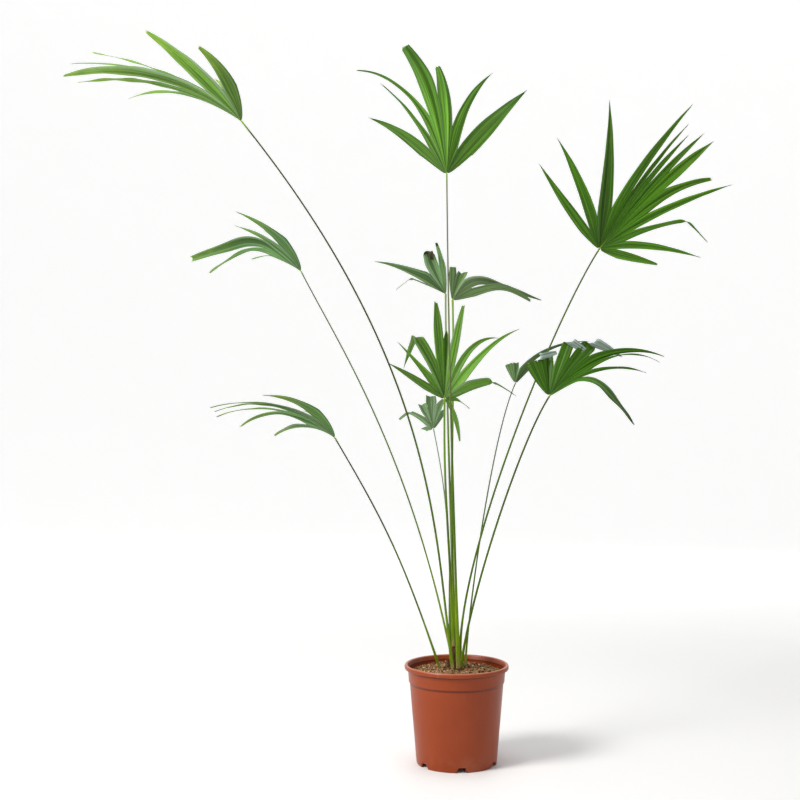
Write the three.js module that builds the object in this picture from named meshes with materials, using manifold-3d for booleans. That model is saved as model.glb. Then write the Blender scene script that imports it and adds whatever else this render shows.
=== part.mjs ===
// A young Chinese fan palm (Livistona chinensis) in a round nursery pot.
// Millimetres, +Z up. The origin is the middle of the pot's flat underside, and -Y is the front.
import * as THREE from "three";
import { mergeVertices } from "three/addons/utils/BufferGeometryUtils.js";
import Module from "manifold-3d";

const wasm = await Module();
wasm.setup();

// ---------------------------------------------------------------- driving dimensions

// The pot: a thin moulded wall, a collar under a rolled lip, and a foot ring with drain notches.
const POT_HEIGHT = 256;
const LIP_RADIUS = 135;
const LIP_HEIGHT = 12;
const COLLAR_TOP_RADIUS = 126.5;
const COLLAR_FOOT_RADIUS = 124;
const COLLAR_FOOT_HEIGHT = 211;
const BODY_TOP_RADIUS = 121.5;
const BODY_TOP_HEIGHT = 208;
const FOOT_RADIUS = 104;
const WALL = 2.5;
const FLOOR = 3;
const FOOT_CLEARANCE = 14;
const DISC_RADIUS = 48;
const DISC_SLOPE = 8;
const NOTCHES = 6;
const NOTCH_FIRST = -85;
const NOTCH_FOOT_WIDTH = 28;
const NOTCH_TOP_WIDTH = 17;
const NOTCH_HEIGHT = 12.7;
const NOTCH_CUT_DEPTH = 24;
const NOTCH_CUT_MARGIN = 12;
const POT_SIDES = 48;

// The soil: flat where the plant stands, lower at the wall.
const SOIL_HEIGHT = 246;
const SOIL_EDGE_HEIGHT = 236;
const SOIL_FLAT_RADIUS = 60;
const GAP = 0.3;

// The crown: the short stem that the middle petioles grow from.
const CROWN_PLACE = [-10, 10];
const CROWN_HEIGHT = 54;
const CROWN_FOOT_RADIUS = 17;
const CROWN_TOP_RADIUS = 16;
const CROWN_SIDES = 16;

// Petioles taper quickly out of their sheath, then slowly up to the blade. Their rings lie closer
// together near the foot, and a short thinner nib ends them inside the blade's root.
const STALK_SIDES = 6;
const STALK_STEPS = 14;
const STALK_CROWDING = 1.25;
const SHEATH_LENGTH = 0.14;
const NECK_SHARE = 0.3;
const STALK_EARLY_LEAN = 0.75;
const STALK_LATE_LEAN = 1.05;
const STALK_NIB = 3.1;
const STALK_NIB_RADIUS = 1.3;
const STALK_TOP_RADIUS = 2.4;

// Blades: each leaflet is folded along its rib, and joined to its neighbours over its lower part.
// The sheet is thinnest at its root, and reaches its full thickness at the end of the root zone.
const BLADE_START = 3.8;
const FOLD = 0.3;
const TIP_HALF_WIDTH = 1.2;
const PLAIN_TAPER = 1.5;
const MARGIN_START = 1.5;
const MARGIN_GROWTH = 0.6;
const THINNEST = 2.4;
const THICKNESS_SHARE = 0.0105;
const ROOT_ZONE = 60;
const JOIN_LIMIT = 0.93;
const JOINED_ROWS = 4;
const FREE_ROWS = 5;
const RIB_STEPS = 48;
const SAG_SPAN = 0.2;
const CREASE_SPAN = 0.07;
const UNCREASED = 2;

// ---------------------------------------------------------------- the fronds

// One leaflet: the slopes at which its rib leaves the petiole and at which it ends, in degrees from
// +X towards +Z; its length; how far its tip lies behind (+) or in front (-) of the petiole's top;
// and the length over which it is joined to the next leaflet. A "bend" above 1 keeps the turn for
// the end of the rib, and one below 1 spends it early. "slim" is the free part's width as a share of
// what the joined part leads to, a "taper" above 1 keeps the width for longer, and "cut" is the share
// of the width that a torn or trimmed end keeps. A "sag" is a soft bend under the leaflet's own
// weight: where along the rib its middle is, and by how many degrees. A "crease" is a place where the
// leaflet has folded over: where, by how many degrees, and the share of the width beyond it.
function leaflet(root, tip, long, depth, joined, extras = {}) {
  const straight = { bend: 1, sag: [0.5, 0], crease: [UNCREASED, 0, 1] };
  const plain = { slim: 1, taper: PLAIN_TAPER, cut: 0 };
  return { root, tip, long, depth, joined, ...straight, ...plain, ...extras };
}

// foot and top are the petiole's ends; rise and arch are its slopes there, in degrees from +X to +Z,
// and pull says how far along it each of them is felt. face is -1 where the blade's upper side looks
// to the front, and 1 where it looks to the back. margins are the widths outside the first and the
// last leaflet's rib.
const FRONDS = [
  {
    name: "high_left",
    foot: [-10, -18, 246.3],
    top: [-552, -60, 1653],
    footRadius: 5.5,
    rise: 99,
    arch: 129,
    pull: [0.2, 0.55],
    face: 1,
    margins: [15, 12],
    leaflets: [
      leaflet(94, 146, 192, -110, 75, { cut: 0.2 }),
      leaflet(126, 150, 305, -100, 110, { slim: 1.2, cut: 0.15 }),
      leaflet(138, 195, 480, -30, 150, { slim: 1.3, taper: 2.5, cut: 0.2 }),
      leaflet(142, 190, 450, 30, 130, { slim: 0.9, taper: 2.5, cut: 0.2 }),
      leaflet(145, 198, 325, 80, 120, { bend: 1.5, slim: 0.8, taper: 2.5, cut: 0.3 }),
      leaflet(137, 182, 510, 110, 140, { slim: 0.6, taper: 2.5, cut: 0.25 }),
      leaflet(133, 168, 460, 100, 100, { bend: 0.7, slim: 0.6, taper: 2.5, cut: 0.3 }),
      leaflet(120, 146, 230, 110, 80, { slim: 0.7 }),
      leaflet(102, 142, 160, 100, 80),
    ],
  },
  {
    name: "middle_left",
    foot: [-19, 8, 300.3],
    top: [-419, 200, 1295],
    footRadius: 4,
    rise: 102,
    arch: 117,
    pull: [0.5, 0.2],
    face: 1,
    margins: [17, 10],
    leaflets: [
      leaflet(111, 160, 234, -90, 90, { bend: 0.8, slim: 0.7 }),
      leaflet(126, 166, 216, -60, 90, { slim: 0.9 }),
      leaflet(139, 142, 343, -20, 110, { slim: 2.2, taper: 1.2, cut: 0.38, sag: [0.46, 60] }),
      leaflet(143, 168, 290, 40, 76, { bend: 0.7, slim: 0.7, taper: 2.5, cut: 0.3, sag: [0.52, 47] }),
      leaflet(139, 166, 157, 60, 60, { bend: 0.7, slim: 0.5, sag: [0.67, 30] }),
      leaflet(130, 168, 190, 100, 80, { slim: 0.8 }),
      leaflet(112, 152, 170, 90, 80, { slim: 0.8 }),
    ],
  },
  {
    name: "low_left",
    foot: [-44, -10, 246.3],
    top: [-302, -280, 850],
    footRadius: 5,
    rise: 108,
    arch: 119,
    pull: [0.5, 0.35],
    face: 1,
    margins: [14, 10],
    leaflets: [
      leaflet(113, 180, 205, -70, 75, { bend: 0.9, slim: 0.7 }),
      leaflet(124, 195, 318, -50, 85, { bend: 0.7, slim: 0.5 }),
      leaflet(132, 203, 312, -20, 120, { slim: 0.7 }),
      leaflet(137, 203, 308, 20, 130, { slim: 0.5, taper: 2 }),
      leaflet(138, 224, 262, 60, 75, { bend: 1.4, slim: 0.55, taper: 4, cut: 0.5 }),
      leaflet(144, 214, 160, 80, 50, { slim: 1.3, taper: 2.5, cut: 0.2 }),
      leaflet(130, 190, 180, 90, 60, { slim: 0.6 }),
      leaflet(114, 170, 110, 80, 60, { slim: 0.7 }),
    ],
  },
  {
    name: "high_middle",
    foot: [4, -20, 246.3],
    top: [-34, -240, 1487],
    footRadius: 5.8,
    rise: 92,
    arch: 91,
    pull: [0.4, 0.4],
    face: 1,
    margins: [17, 20],
    leaflets: [
      leaflet(128, 162, 243, 40, 76, { bend: 1.3, slim: 1.1 }),
      leaflet(118, 142, 275, 10, 100, { bend: 2, slim: 0.6 }),
      leaflet(108, 179, 350, -20, 145, { bend: 2, slim: 0.4, taper: 2.5, cut: 0.3 }),
      leaflet(101, 128, 318, -40, 180, { bend: 2.2, slim: 1.4, cut: 0.45 }),
      leaflet(87, 118, 258, -30, 115, { bend: 3, slim: 1.1, cut: 0.35 }),
      leaflet(79, 38, 276, 0, 70, { bend: 2 }),
      leaflet(54, 40, 292, 40, 70, { slim: 1.4 }),
    ],
  },
  {
    name: "centre_back",
    foot: [-5, 18, 300.3],
    top: [-18, 300, 1240],
    footRadius: 4,
    rise: 91,
    arch: 89,
    pull: [0.35, 0.2],
    face: -1,
    margins: [8, 10],
    leaflets: [
      leaflet(149, 166, 163, 20, 60, { slim: 0.6, taper: 2.5, crease: [0.67, 56, 1] }),
      leaflet(148, 170, 223, 0, 75, { bend: 2, slim: 0.9, taper: 1 }),
      leaflet(114, 106, 122, 40, 80, { cut: 0.8, slim: 1.2 }),
      leaflet(94, 110, 155, 60, 80, { bend: 2, slim: 0.9, cut: 0.3 }),
    ],
  },
  {
    name: "centre_front",
    foot: [0, 7, 300.3],
    top: [-2, 210, 1216],
    footRadius: 4,
    rise: 94,
    arch: 91,
    pull: [0.35, 0.3],
    face: -1,
    margins: [9, 12],
    leaflets: [
      leaflet(92, 86, 98, 60, 75, { cut: 0.8 }),
      leaflet(76, 64, 84, 60, 68, { bend: 1.5, cut: 0.9 }),
      leaflet(46, 44, 277, 60, 60, { slim: 0.6, taper: 2, cut: 0.2, sag: [0.3, -62] }),
      leaflet(23, 3, 232, 10, 80, { slim: 0.8, taper: 2.5, cut: 0.3, sag: [0.62, -36] }),
    ],
  },
  {
    name: "centre_low",
    foot: [-8, 1, 300.3],
    top: [-29, 60, 944],
    footRadius: 4,
    rise: 92,
    arch: 89,
    pull: [0.55, 0.4],
    face: -1,
    margins: [10, 5],
    leaflets: [
      leaflet(146, 152, 178, -30, 56, { bend: 2.2 }),
      leaflet(128, 133, 196, 0, 74, { bend: 2.2, slim: 0.7 }),
      leaflet(103, 138, 277, 20, 105, { slim: 1.2, taper: 3, crease: [0.67, 118, 0.6] }),
      leaflet(97, 92, 261, 50, 150, { bend: 1.5, slim: 1.15, taper: 2, cut: 0.3 }),
      leaflet(88, 88, 182, 60, 142, { cut: 0.2 }),
      leaflet(77, 80, 258, 60, 87, { bend: 2.2, slim: 0.95, taper: 2.2, cut: 0.3 }),
      leaflet(67, -14, 237, 40, 78, { bend: 3, slim: 1.2 }),
      leaflet(52, 20, 277, 20, 70, { bend: 2.5, slim: 0.8 }),
      leaflet(30, -2, 206, -20, 30, { slim: 0.95, crease: [0.66, -36, 0.3] }),
      leaflet(4, -48, 75, 20, 14, { slim: 0.3 }),
      leaflet(-34, -84, 124, 60, 14, { bend: 0.4, slim: 1.2, taper: 3, cut: 0.3 }),
    ],
  },
  {
    name: "low_back",
    foot: [-14, 18, 300.3],
    top: [-49, 430, 856],
    footRadius: 4,
    rise: 90,
    arch: 101,
    pull: [0.4, 0.4],
    face: -1,
    margins: [10, 9],
    leaflets: [
      leaflet(172, 188, 37, 20, 20, { slim: 0.8 }),
      leaflet(134, 166, 125, 30, 40, { slim: 0.8, cut: 0.5, crease: [0.7, 56, 0.8] }),
      leaflet(118, 116, 78, 50, 60, { slim: 1.5, cut: 0.9 }),
      leaflet(98, 92, 96, 70, 66, { slim: 1.3, cut: 0.9 }),
      leaflet(78, 60, 92, 70, 55, { cut: 0.4 }),
      leaflet(62, 56, 68, 50, 45),
    ],
  },
  {
    name: "high_right",
    foot: [13, 14, 246.3],
    top: [377, 40, 1338],
    footRadius: 5,
    rise: 98,
    arch: 57,
    pull: [0.2, 0.2],
    face: -1,
    margins: [12, 14],
    leaflets: [
      leaflet(131, 125, 270, -70, 59, { slim: 1.2 }),
      leaflet(108, 120, 305, -60, 87, { bend: 1.5, slim: 1.1 }),
      leaflet(84, 93, 385, -40, 113, { bend: 2 }),
      leaflet(72, 50, 450, -20, 163, { bend: 0.5, taper: 2 }),
      leaflet(63, 46, 404, 0, 207, { taper: 2.2 }),
      leaflet(57, 44, 385, 10, 211, { bend: 1.5, taper: 2.2 }),
      leaflet(52, 39, 418, 20, 265, { bend: 2, taper: 2 }),
      leaflet(48, 36, 420, 20, 235, { bend: 1.5, slim: 1.2, taper: 2 }),
      leaflet(43, 7, 357, 10, 158, { bend: 2.2, slim: 0.7, taper: 2, cut: 0.4 }),
      leaflet(37, 18, 390, 0, 102, { bend: 0.7, slim: 0.9, taper: 2 }),
      leaflet(28, 2, 317, -20, 70, { slim: 0.55, taper: 4, crease: [0.74, -52, 0.9] }),
      leaflet(18, -18, 262, -40, 43, { bend: 0.5, slim: 1.1 }),
      leaflet(-14, -20, 152, -40, 43, { taper: 2, cut: 0.2 }),
    ],
  },
  {
    name: "low_right",
    foot: [12, -4, 246.3],
    top: [228, -120, 951],
    footRadius: 5,
    rise: 86,
    arch: 58,
    pull: [0.2, 0.2],
    face: -1,
    margins: [22, 5],
    leaflets: [
      leaflet(117, 112, 96, 10, 90, { cut: 0.9 }),
      leaflet(104, 102, 146, 20, 87, { taper: 3, cut: 0.5, crease: [0.69, -88, 0.8] }),
      leaflet(91, 90, 104, 30, 76, { cut: 0.9 }),
      leaflet(70, 68, 210, 40, 109, { taper: 3, cut: 0.4, crease: [0.71, -101, 0.8] }),
      leaflet(56, 43, 266, 50, 144, { slim: 1.2, taper: 2.5, crease: [0.66, -71, 0.7] }),
      leaflet(45, -19, 335, 60, 148, { bend: 1.4, slim: 0.85 }),
      leaflet(39, -34, 318, 40, 125, { bend: 2.2, slim: 0.4 }),
      leaflet(35, -20, 263, 10, 78, { bend: 1.5, slim: 0.7, taper: 2.5 }),
      leaflet(33, 14, 268, -40, 78, { slim: 2.2, taper: 2.5, sag: [0.4, -70] }),
    ],
  },
  {
    name: "far_right",
    foot: [23, 9, 246.3],
    top: [182, 330, 989],
    footRadius: 4.4,
    rise: 86,
    arch: 63,
    pull: [0.2, 0.2],
    face: -1,
    margins: [12, 10],
    leaflets: [
      leaflet(108, 104, 58, 30, 54, { cut: 0.9 }),
      leaflet(86, 84, 58, 30, 40, { cut: 0.85 }),
      leaflet(72, -1, 266, 60, 60, { bend: 0.7, slim: 0.8 }),
      leaflet(52, 44, 60, 20, 40, { slim: 0.5 }),
    ],
  },
];

// ---------------------------------------------------------------- colours

const GREEN = new THREE.MeshStandardMaterial({ color: 0x648e3c, roughness: 0.5, side: THREE.DoubleSide });
const STALK_GREEN = new THREE.MeshStandardMaterial({ color: 0x7c9552, roughness: 0.5 });
const TERRACOTTA = new THREE.MeshStandardMaterial({ color: 0x924834, roughness: 0.45 });
const SOIL = new THREE.MeshStandardMaterial({ color: 0x6b5a44, roughness: 0.95 });
const FIBRE = new THREE.MeshStandardMaterial({ color: 0x7a6a45, roughness: 0.9 });

// ---------------------------------------------------------------- solids and meshes

function asSolid(geometry) {
  const bare = geometry.clone();
  bare.deleteAttribute("normal");
  bare.deleteAttribute("uv");
  const merged = mergeVertices(bare, 1e-3);
  return new wasm.Manifold(
    new wasm.Mesh({
      numProp: 3,
      vertProperties: merged.attributes.position.array,
      triVerts: new Uint32Array(merged.index.array),
    }),
  );
}

function asGeometry(solid) {
  const mesh = solid.getMesh();
  const geometry = new THREE.BufferGeometry();
  geometry.setAttribute("position", new THREE.BufferAttribute(mesh.vertProperties, 3));
  geometry.setIndex(new THREE.BufferAttribute(mesh.triVerts, 1));
  geometry.computeVertexNormals();
  return geometry;
}

function named(name, geometry, material) {
  const mesh = new THREE.Mesh(geometry, material);
  mesh.name = name;
  return mesh;
}

// A profile of [radius, height] pairs turned about the upright axis.
function turned(profile, sides) {
  const points = profile.map(([radius, height]) => new THREE.Vector2(radius, height));
  return new THREE.LatheGeometry(points, sides).rotateX(Math.PI / 2);
}

// ---------------------------------------------------------------- pot, soil and crown

function potGeometry() {
  const lipFoot = POT_HEIGHT - LIP_HEIGHT;
  const discEdge = DISC_RADIUS + DISC_SLOPE;
  const wall = turned(
    [
      [0, 0],
      [DISC_RADIUS, 0],
      [discEdge, FOOT_CLEARANCE],
      [FOOT_RADIUS - 4, FOOT_CLEARANCE],
      [FOOT_RADIUS - 4, 0],
      [FOOT_RADIUS - 1, 0],
      [FOOT_RADIUS + 0.6, 4],
      [BODY_TOP_RADIUS, BODY_TOP_HEIGHT],
      [COLLAR_FOOT_RADIUS, COLLAR_FOOT_HEIGHT],
      [COLLAR_TOP_RADIUS, lipFoot],
      [LIP_RADIUS - 1, lipFoot],
      [LIP_RADIUS, lipFoot + 2],
      [LIP_RADIUS, POT_HEIGHT - 4],
      [LIP_RADIUS - 1.5, POT_HEIGHT - 1],
      [LIP_RADIUS - 4, POT_HEIGHT],
      [COLLAR_TOP_RADIUS + 1, POT_HEIGHT - 1.5],
      [COLLAR_TOP_RADIUS - WALL, lipFoot],
      [COLLAR_FOOT_RADIUS - WALL, COLLAR_FOOT_HEIGHT - 2],
      [BODY_TOP_RADIUS - WALL, BODY_TOP_HEIGHT - 2],
      [FOOT_RADIUS - 1.5, FOOT_CLEARANCE + FLOOR],
      [discEdge + 2, FOOT_CLEARANCE + FLOOR],
      [DISC_RADIUS + 2, FLOOR],
      [0, FLOOR],
    ],
    POT_SIDES,
  );
  let solid = asSolid(wall);
  const outline = new THREE.Shape([
    new THREE.Vector2(-NOTCH_FOOT_WIDTH / 2, -1),
    new THREE.Vector2(NOTCH_FOOT_WIDTH / 2, -1),
    new THREE.Vector2(NOTCH_TOP_WIDTH / 2, NOTCH_HEIGHT),
    new THREE.Vector2(-NOTCH_TOP_WIDTH / 2, NOTCH_HEIGHT),
  ]);
  for (let i = 0; i < NOTCHES; i += 1) {
    const angle = THREE.MathUtils.degToRad(NOTCH_FIRST + (i * 360) / NOTCHES);
    const cutter = new THREE.ExtrudeGeometry(outline, { depth: NOTCH_CUT_DEPTH, bevelEnabled: false });
    cutter.rotateX(Math.PI / 2);
    cutter.translate(0, FOOT_RADIUS + NOTCH_CUT_MARGIN, 0);
    cutter.rotateZ(angle - Math.PI / 2);
    solid = solid.subtract(asSolid(cutter));
  }
  return asGeometry(solid);
}

function soilGeometry() {
  const discEdge = DISC_RADIUS + DISC_SLOPE;
  return turned(
    [
      [0, FLOOR + GAP],
      [DISC_RADIUS + 1.5, FLOOR + GAP],
      [discEdge + 1.5, FOOT_CLEARANCE + FLOOR + GAP],
      [FOOT_RADIUS - 1.9, FOOT_CLEARANCE + FLOOR + GAP],
      [BODY_TOP_RADIUS - WALL - 0.4, BODY_TOP_HEIGHT - 2],
      [COLLAR_FOOT_RADIUS - WALL - 0.4, COLLAR_FOOT_HEIGHT - 2],
      [COLLAR_TOP_RADIUS - WALL - 1.1, SOIL_EDGE_HEIGHT],
      [SOIL_FLAT_RADIUS, SOIL_HEIGHT],
      [0, SOIL_HEIGHT],
    ],
    POT_SIDES,
  );
}

function crownGeometry() {
  const foot = SOIL_HEIGHT + GAP;
  const body = turned(
    [
      [0, foot],
      [CROWN_FOOT_RADIUS, foot],
      [CROWN_TOP_RADIUS, foot + CROWN_HEIGHT / 2],
      [CROWN_TOP_RADIUS, SOIL_HEIGHT + CROWN_HEIGHT],
      [0, SOIL_HEIGHT + CROWN_HEIGHT],
    ],
    CROWN_SIDES,
  );
  return body.translate(CROWN_PLACE[0], CROWN_PLACE[1], 0);
}

// ---------------------------------------------------------------- petioles

// A vector in the front view at a slope in degrees from +X towards +Z.
function slope(degrees) {
  const angle = THREE.MathUtils.degToRad(degrees);
  return new THREE.Vector3(Math.cos(angle), 0, Math.sin(angle));
}

// The petiole's middle line: a cubic whose handles follow its two slopes, leaning back or forward
// only slowly at first.
function stalkCurve({ foot, top, rise, arch, pull }) {
  const start = new THREE.Vector3(...foot);
  const end = new THREE.Vector3(...top);
  const reach = Math.hypot(end.x - start.x, end.z - start.z);
  const lower = start.clone().addScaledVector(slope(rise), pull[0] * reach);
  const upper = end.clone().addScaledVector(slope(arch), -pull[1] * reach);
  lower.y = start.y + STALK_EARLY_LEAN * pull[0] * (end.y - start.y);
  upper.y = end.y - STALK_LATE_LEAN * pull[1] * (end.y - start.y);
  return new THREE.CubicBezierCurve3(start, lower, upper, end);
}

function stalkGeometry(frond) {
  const curve = stalkCurve(frond);
  const neck = STALK_TOP_RADIUS + NECK_SHARE * (frond.footRadius - STALK_TOP_RADIUS);
  const rings = [];
  for (let i = 0; i <= STALK_STEPS; i += 1) {
    const t = (i / STALK_STEPS) ** STALK_CROWDING;
    const along = Math.min(1, t / SHEATH_LENGTH);
    const sheath = frond.footRadius + (neck - frond.footRadius) * along;
    const radius = sheath + (STALK_TOP_RADIUS - neck) * Math.max(0, t - SHEATH_LENGTH);
    const tangent = i === 0 ? new THREE.Vector3(0, 0, 1) : curve.getTangent(t);
    rings.push({ centre: curve.getPoint(t), tangent, radius });
  }
  const last = rings[STALK_STEPS];
  const nib = last.centre.clone().addScaledVector(last.tangent, STALK_NIB);
  rings.push({ centre: nib, tangent: last.tangent, radius: STALK_NIB_RADIUS });
  return tube(rings, STALK_SIDES);
}

// A closed tube through rings; each ring lies square to its tangent, and the foot is level.
function tube(rings, sides) {
  const positions = [];
  const indices = [];
  for (const { centre, tangent, radius } of rings) {
    const across = new THREE.Vector3(0, 1, 0).cross(tangent).normalize();
    const back = new THREE.Vector3().crossVectors(tangent, across);
    for (let s = 0; s < sides; s += 1) {
      const turn = (2 * Math.PI * s) / sides;
      const point = centre.clone();
      point.addScaledVector(across, radius * Math.cos(turn));
      point.addScaledVector(back, radius * Math.sin(turn));
      positions.push(point.x, point.y, point.z);
    }
  }
  for (let ring = 0; ring + 1 < rings.length; ring += 1) {
    for (let s = 0; s < sides; s += 1) {
      const a = ring * sides + s;
      const b = ring * sides + ((s + 1) % sides);
      indices.push(a, b, b + sides, a, b + sides, a + sides);
    }
  }
  const end = (rings.length - 1) * sides;
  for (let s = 1; s + 1 < sides; s += 1) {
    indices.push(0, s + 1, s);
    indices.push(end, end + s, end + s + 1);
  }
  const geometry = new THREE.BufferGeometry();
  geometry.setAttribute("position", new THREE.Float32BufferAttribute(positions, 3));
  geometry.setIndex(indices);
  geometry.computeVertexNormals();
  return geometry;
}

// ---------------------------------------------------------------- blades

// A leaflet at a share of its length: the slope that it has without its crease, the line midway
// between the slopes before and after the crease, over which it folds, and how far it has folded.
function foldAt(leaf, share) {
  const [at, by] = leaf.crease;
  const [middle, sagged] = leaf.sag;
  const curving = (leaf.tip - leaf.root) * share ** leaf.bend;
  const sagging = sagged * THREE.MathUtils.smoothstep(share, middle - SAG_SPAN, middle + SAG_SPAN);
  const before = leaf.root + curving + sagging;
  const done = THREE.MathUtils.smoothstep(share, at - CREASE_SPAN, at + CREASE_SPAN);
  return { before, line: slope(before + by / 2), done };
}

// The rib of one leaflet as a function of the distance along it: its slope turns from root to tip.
function ribOf(frond, leaf) {
  const points = [new THREE.Vector3(...frond.top)];
  const step = leaf.long / RIB_STEPS;
  for (let i = 0; i < RIB_STEPS; i += 1) {
    const { before, line, done } = foldAt(leaf, (i + 0.5) / RIB_STEPS);
    const heading = slope(before).applyAxisAngle(line, Math.PI * done);
    const next = points[i].clone().addScaledVector(heading, step);
    next.y += leaf.depth / RIB_STEPS;
    points.push(next);
  }
  return (distance) => {
    const place = Math.min(distance / step, RIB_STEPS - 1e-6);
    const i = Math.floor(place);
    return points[i].clone().lerp(points[i + 1], place - i);
  };
}

function directionOf(rib, distance) {
  return rib(distance + 1).sub(rib(distance - 1)).normalize();
}

// The fold between two leaflets at a distance from the petiole: midway between their ribs, and
// raised towards the blade's upper side.
function foldBetween(frond, left, right, distance) {
  const a = left(distance);
  const b = right(distance);
  const across = b.clone().sub(a);
  const up = new THREE.Vector3().crossVectors(across, directionOf(left, distance)).normalize();
  const rise = (FOLD * across.length()) / 2;
  return a.lerp(b, 0.5).addScaledVector(up, -frond.face * rise);
}

// The rows of a leaflet's free part: evenly spaced, or round the crease and midway to both ends.
function freeRows(leaf, start) {
  const at = leaf.crease[0] * leaf.long;
  const span = CREASE_SPAN * leaf.long;
  if (at < leaf.long) {
    return [(start + at - span) / 2, at - span, at, at + span, (at + span + leaf.long) / 2, leaf.long];
  }
  return Array.from({ length: FREE_ROWS }, (_, j) => start + ((leaf.long - start) * (j + 1)) / FREE_ROWS);
}

// A free edge as a function of the distance along the leaflet: square to the rib, as wide as the
// joined part's end leads it, then slimmer and tapering, and folded over with the crease.
function freeEdge(leaf, rib, edge, start) {
  const kept = leaf.crease[2];
  return (distance) => {
    const share = (distance - start) / (leaf.long - start);
    const { before, line, done } = foldAt(leaf, distance / leaf.long);
    const along = slope(before).setY(leaf.depth / leaf.long).normalize();
    const side = edge.clone().addScaledVector(along, -edge.dot(along)).normalize();
    side.applyAxisAngle(line, Math.PI * done);
    const tapering = leaf.cut + (1 - leaf.cut) * (1 - share ** leaf.taper);
    const slimming = 1 + (leaf.slim - 1) * Math.sin((Math.PI / 2) * Math.min(1, 2 * share));
    const width = edge.length() * tapering * slimming * (1 + (kept - 1) * done);
    return rib(distance).addScaledVector(side, Math.max(width, TIP_HALF_WIDTH));
  };
}

// A blade as an open sheet: every leaflet has a rib column and two edge columns, and neighbours
// share an edge column as far as they are joined.
function bladeSheet(frond) {
  const { leaflets } = frond;
  const ribs = leaflets.map((leaf) => ribOf(frond, leaf));
  const points = [];
  const faces = [];
  const add = (point) => points.push(point) - 1;

  const joins = leaflets.slice(0, -1).map((leaf, k) => {
    const shorter = Math.min(leaf.long, leaflets[k + 1].long);
    const far = Math.min(leaf.joined, JOIN_LIMIT * shorter);
    const rows = [];
    for (let j = 0; j <= JOINED_ROWS; j += 1) {
      const distance = BLADE_START + ((far - BLADE_START) * j) / JOINED_ROWS;
      rows.push(add(foldBetween(frond, ribs[k], ribs[k + 1], distance)));
    }
    return { far, rows };
  });

  leaflets.forEach((leaf, k) => {
    const before = joins[k - 1];
    const after = joins[k];
    const inner = (before || after).far;
    const outer = (after || before).far;
    const widest = (inner + outer) / 2;
    const middle = [];
    for (let j = 0; j <= JOINED_ROWS; j += 1) {
      middle.push(ribs[k](BLADE_START + ((widest - BLADE_START) * j) / JOINED_ROWS));
    }
    const outside = (across, width) =>
      across.rows.map((row, j) => {
        const away = middle[j].clone().sub(points[row]).normalize();
        const grown = (width - MARGIN_START) * (j / JOINED_ROWS) ** MARGIN_GROWTH;
        return add(middle[j].clone().addScaledVector(away, MARGIN_START + grown));
      });
    const left = before ? [...before.rows] : outside(after, frond.margins[0]);
    const right = after ? [...after.rows] : outside(before, frond.margins[1]);
    const rib = middle.map(add);
    const edgeFrom = (column, start) => {
      const edge = points[column[JOINED_ROWS]].clone().sub(ribs[k](start));
      const place = freeEdge(leaf, ribs[k], edge, start);
      freeRows(leaf, start).forEach((distance) => column.push(add(place(distance))));
    };
    edgeFrom(left, inner);
    edgeFrom(right, outer);
    freeRows(leaf, widest).forEach((distance) => rib.push(add(ribs[k](distance))));
    for (let j = 0; j + 1 < rib.length; j += 1) {
      faces.push([left[j], rib[j], rib[j + 1]], [left[j], rib[j + 1], left[j + 1]]);
      faces.push([rib[j], right[j], right[j + 1]], [rib[j], right[j + 1], rib[j + 1]]);
    }
  });
  return { points, faces };
}

// The sheet's normals, each the mean of the faces round its point.
function sheetNormals({ points, faces }) {
  const normals = points.map(() => new THREE.Vector3());
  for (const [a, b, c] of faces) {
    const one = points[b].clone().sub(points[a]);
    const two = points[c].clone().sub(points[a]);
    const normal = one.cross(two).normalize();
    [a, b, c].forEach((corner) => normals[corner].add(normal));
  }
  return normals.map((normal) => normal.normalize());
}

// Gives the sheet its thickness: a copy on each side of it, and a wall along its open edges.
function thickened(sheet, thicknessAt) {
  const { points, faces } = sheet;
  const normals = sheetNormals(sheet);
  const positions = [];
  for (const side of [0.5, -0.5]) {
    points.forEach((point, i) => {
      const moved = point.clone().addScaledVector(normals[i], side * thicknessAt(point));
      positions.push(moved.x, moved.y, moved.z);
    });
  }
  const indices = [];
  const open = new Map();
  const count = points.length;
  for (const [a, b, c] of faces) {
    indices.push(a, b, c, a + count, c + count, b + count);
    for (const [from, to] of [[a, b], [b, c], [c, a]]) {
      if (!open.delete(`${to},${from}`)) open.set(`${from},${to}`, [from, to]);
    }
  }
  for (const [from, to] of open.values()) {
    indices.push(from, from + count, to + count, from, to + count, to);
  }
  const geometry = new THREE.BufferGeometry();
  geometry.setAttribute("position", new THREE.Float32BufferAttribute(positions, 3));
  geometry.setIndex(indices);
  geometry.computeVertexNormals();
  return geometry;
}

function bladeGeometry(frond) {
  const top = new THREE.Vector3(...frond.top);
  const longest = Math.max(...frond.leaflets.map((leaf) => Math.hypot(leaf.long, leaf.depth)));
  const full = Math.max(THINNEST, THICKNESS_SHARE * longest);
  const thicknessAt = (point) => {
    const share = Math.min(1, point.distanceTo(top) / ROOT_ZONE);
    return THINNEST + (full - THINNEST) * share;
  };
  return thickened(bladeSheet(frond), thicknessAt);
}

// ---------------------------------------------------------------- the plant

const palm = new THREE.Group();
palm.add(named("pot", potGeometry(), TERRACOTTA));
palm.add(named("soil", soilGeometry(), SOIL));
palm.add(named("crown", crownGeometry(), FIBRE));
for (const frond of FRONDS) {
  palm.add(named(`petiole_${frond.name}`, stalkGeometry(frond), STALK_GREEN));
  palm.add(named(`blade_${frond.name}`, bladeGeometry(frond), GREEN));
}

export default palm;
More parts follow.
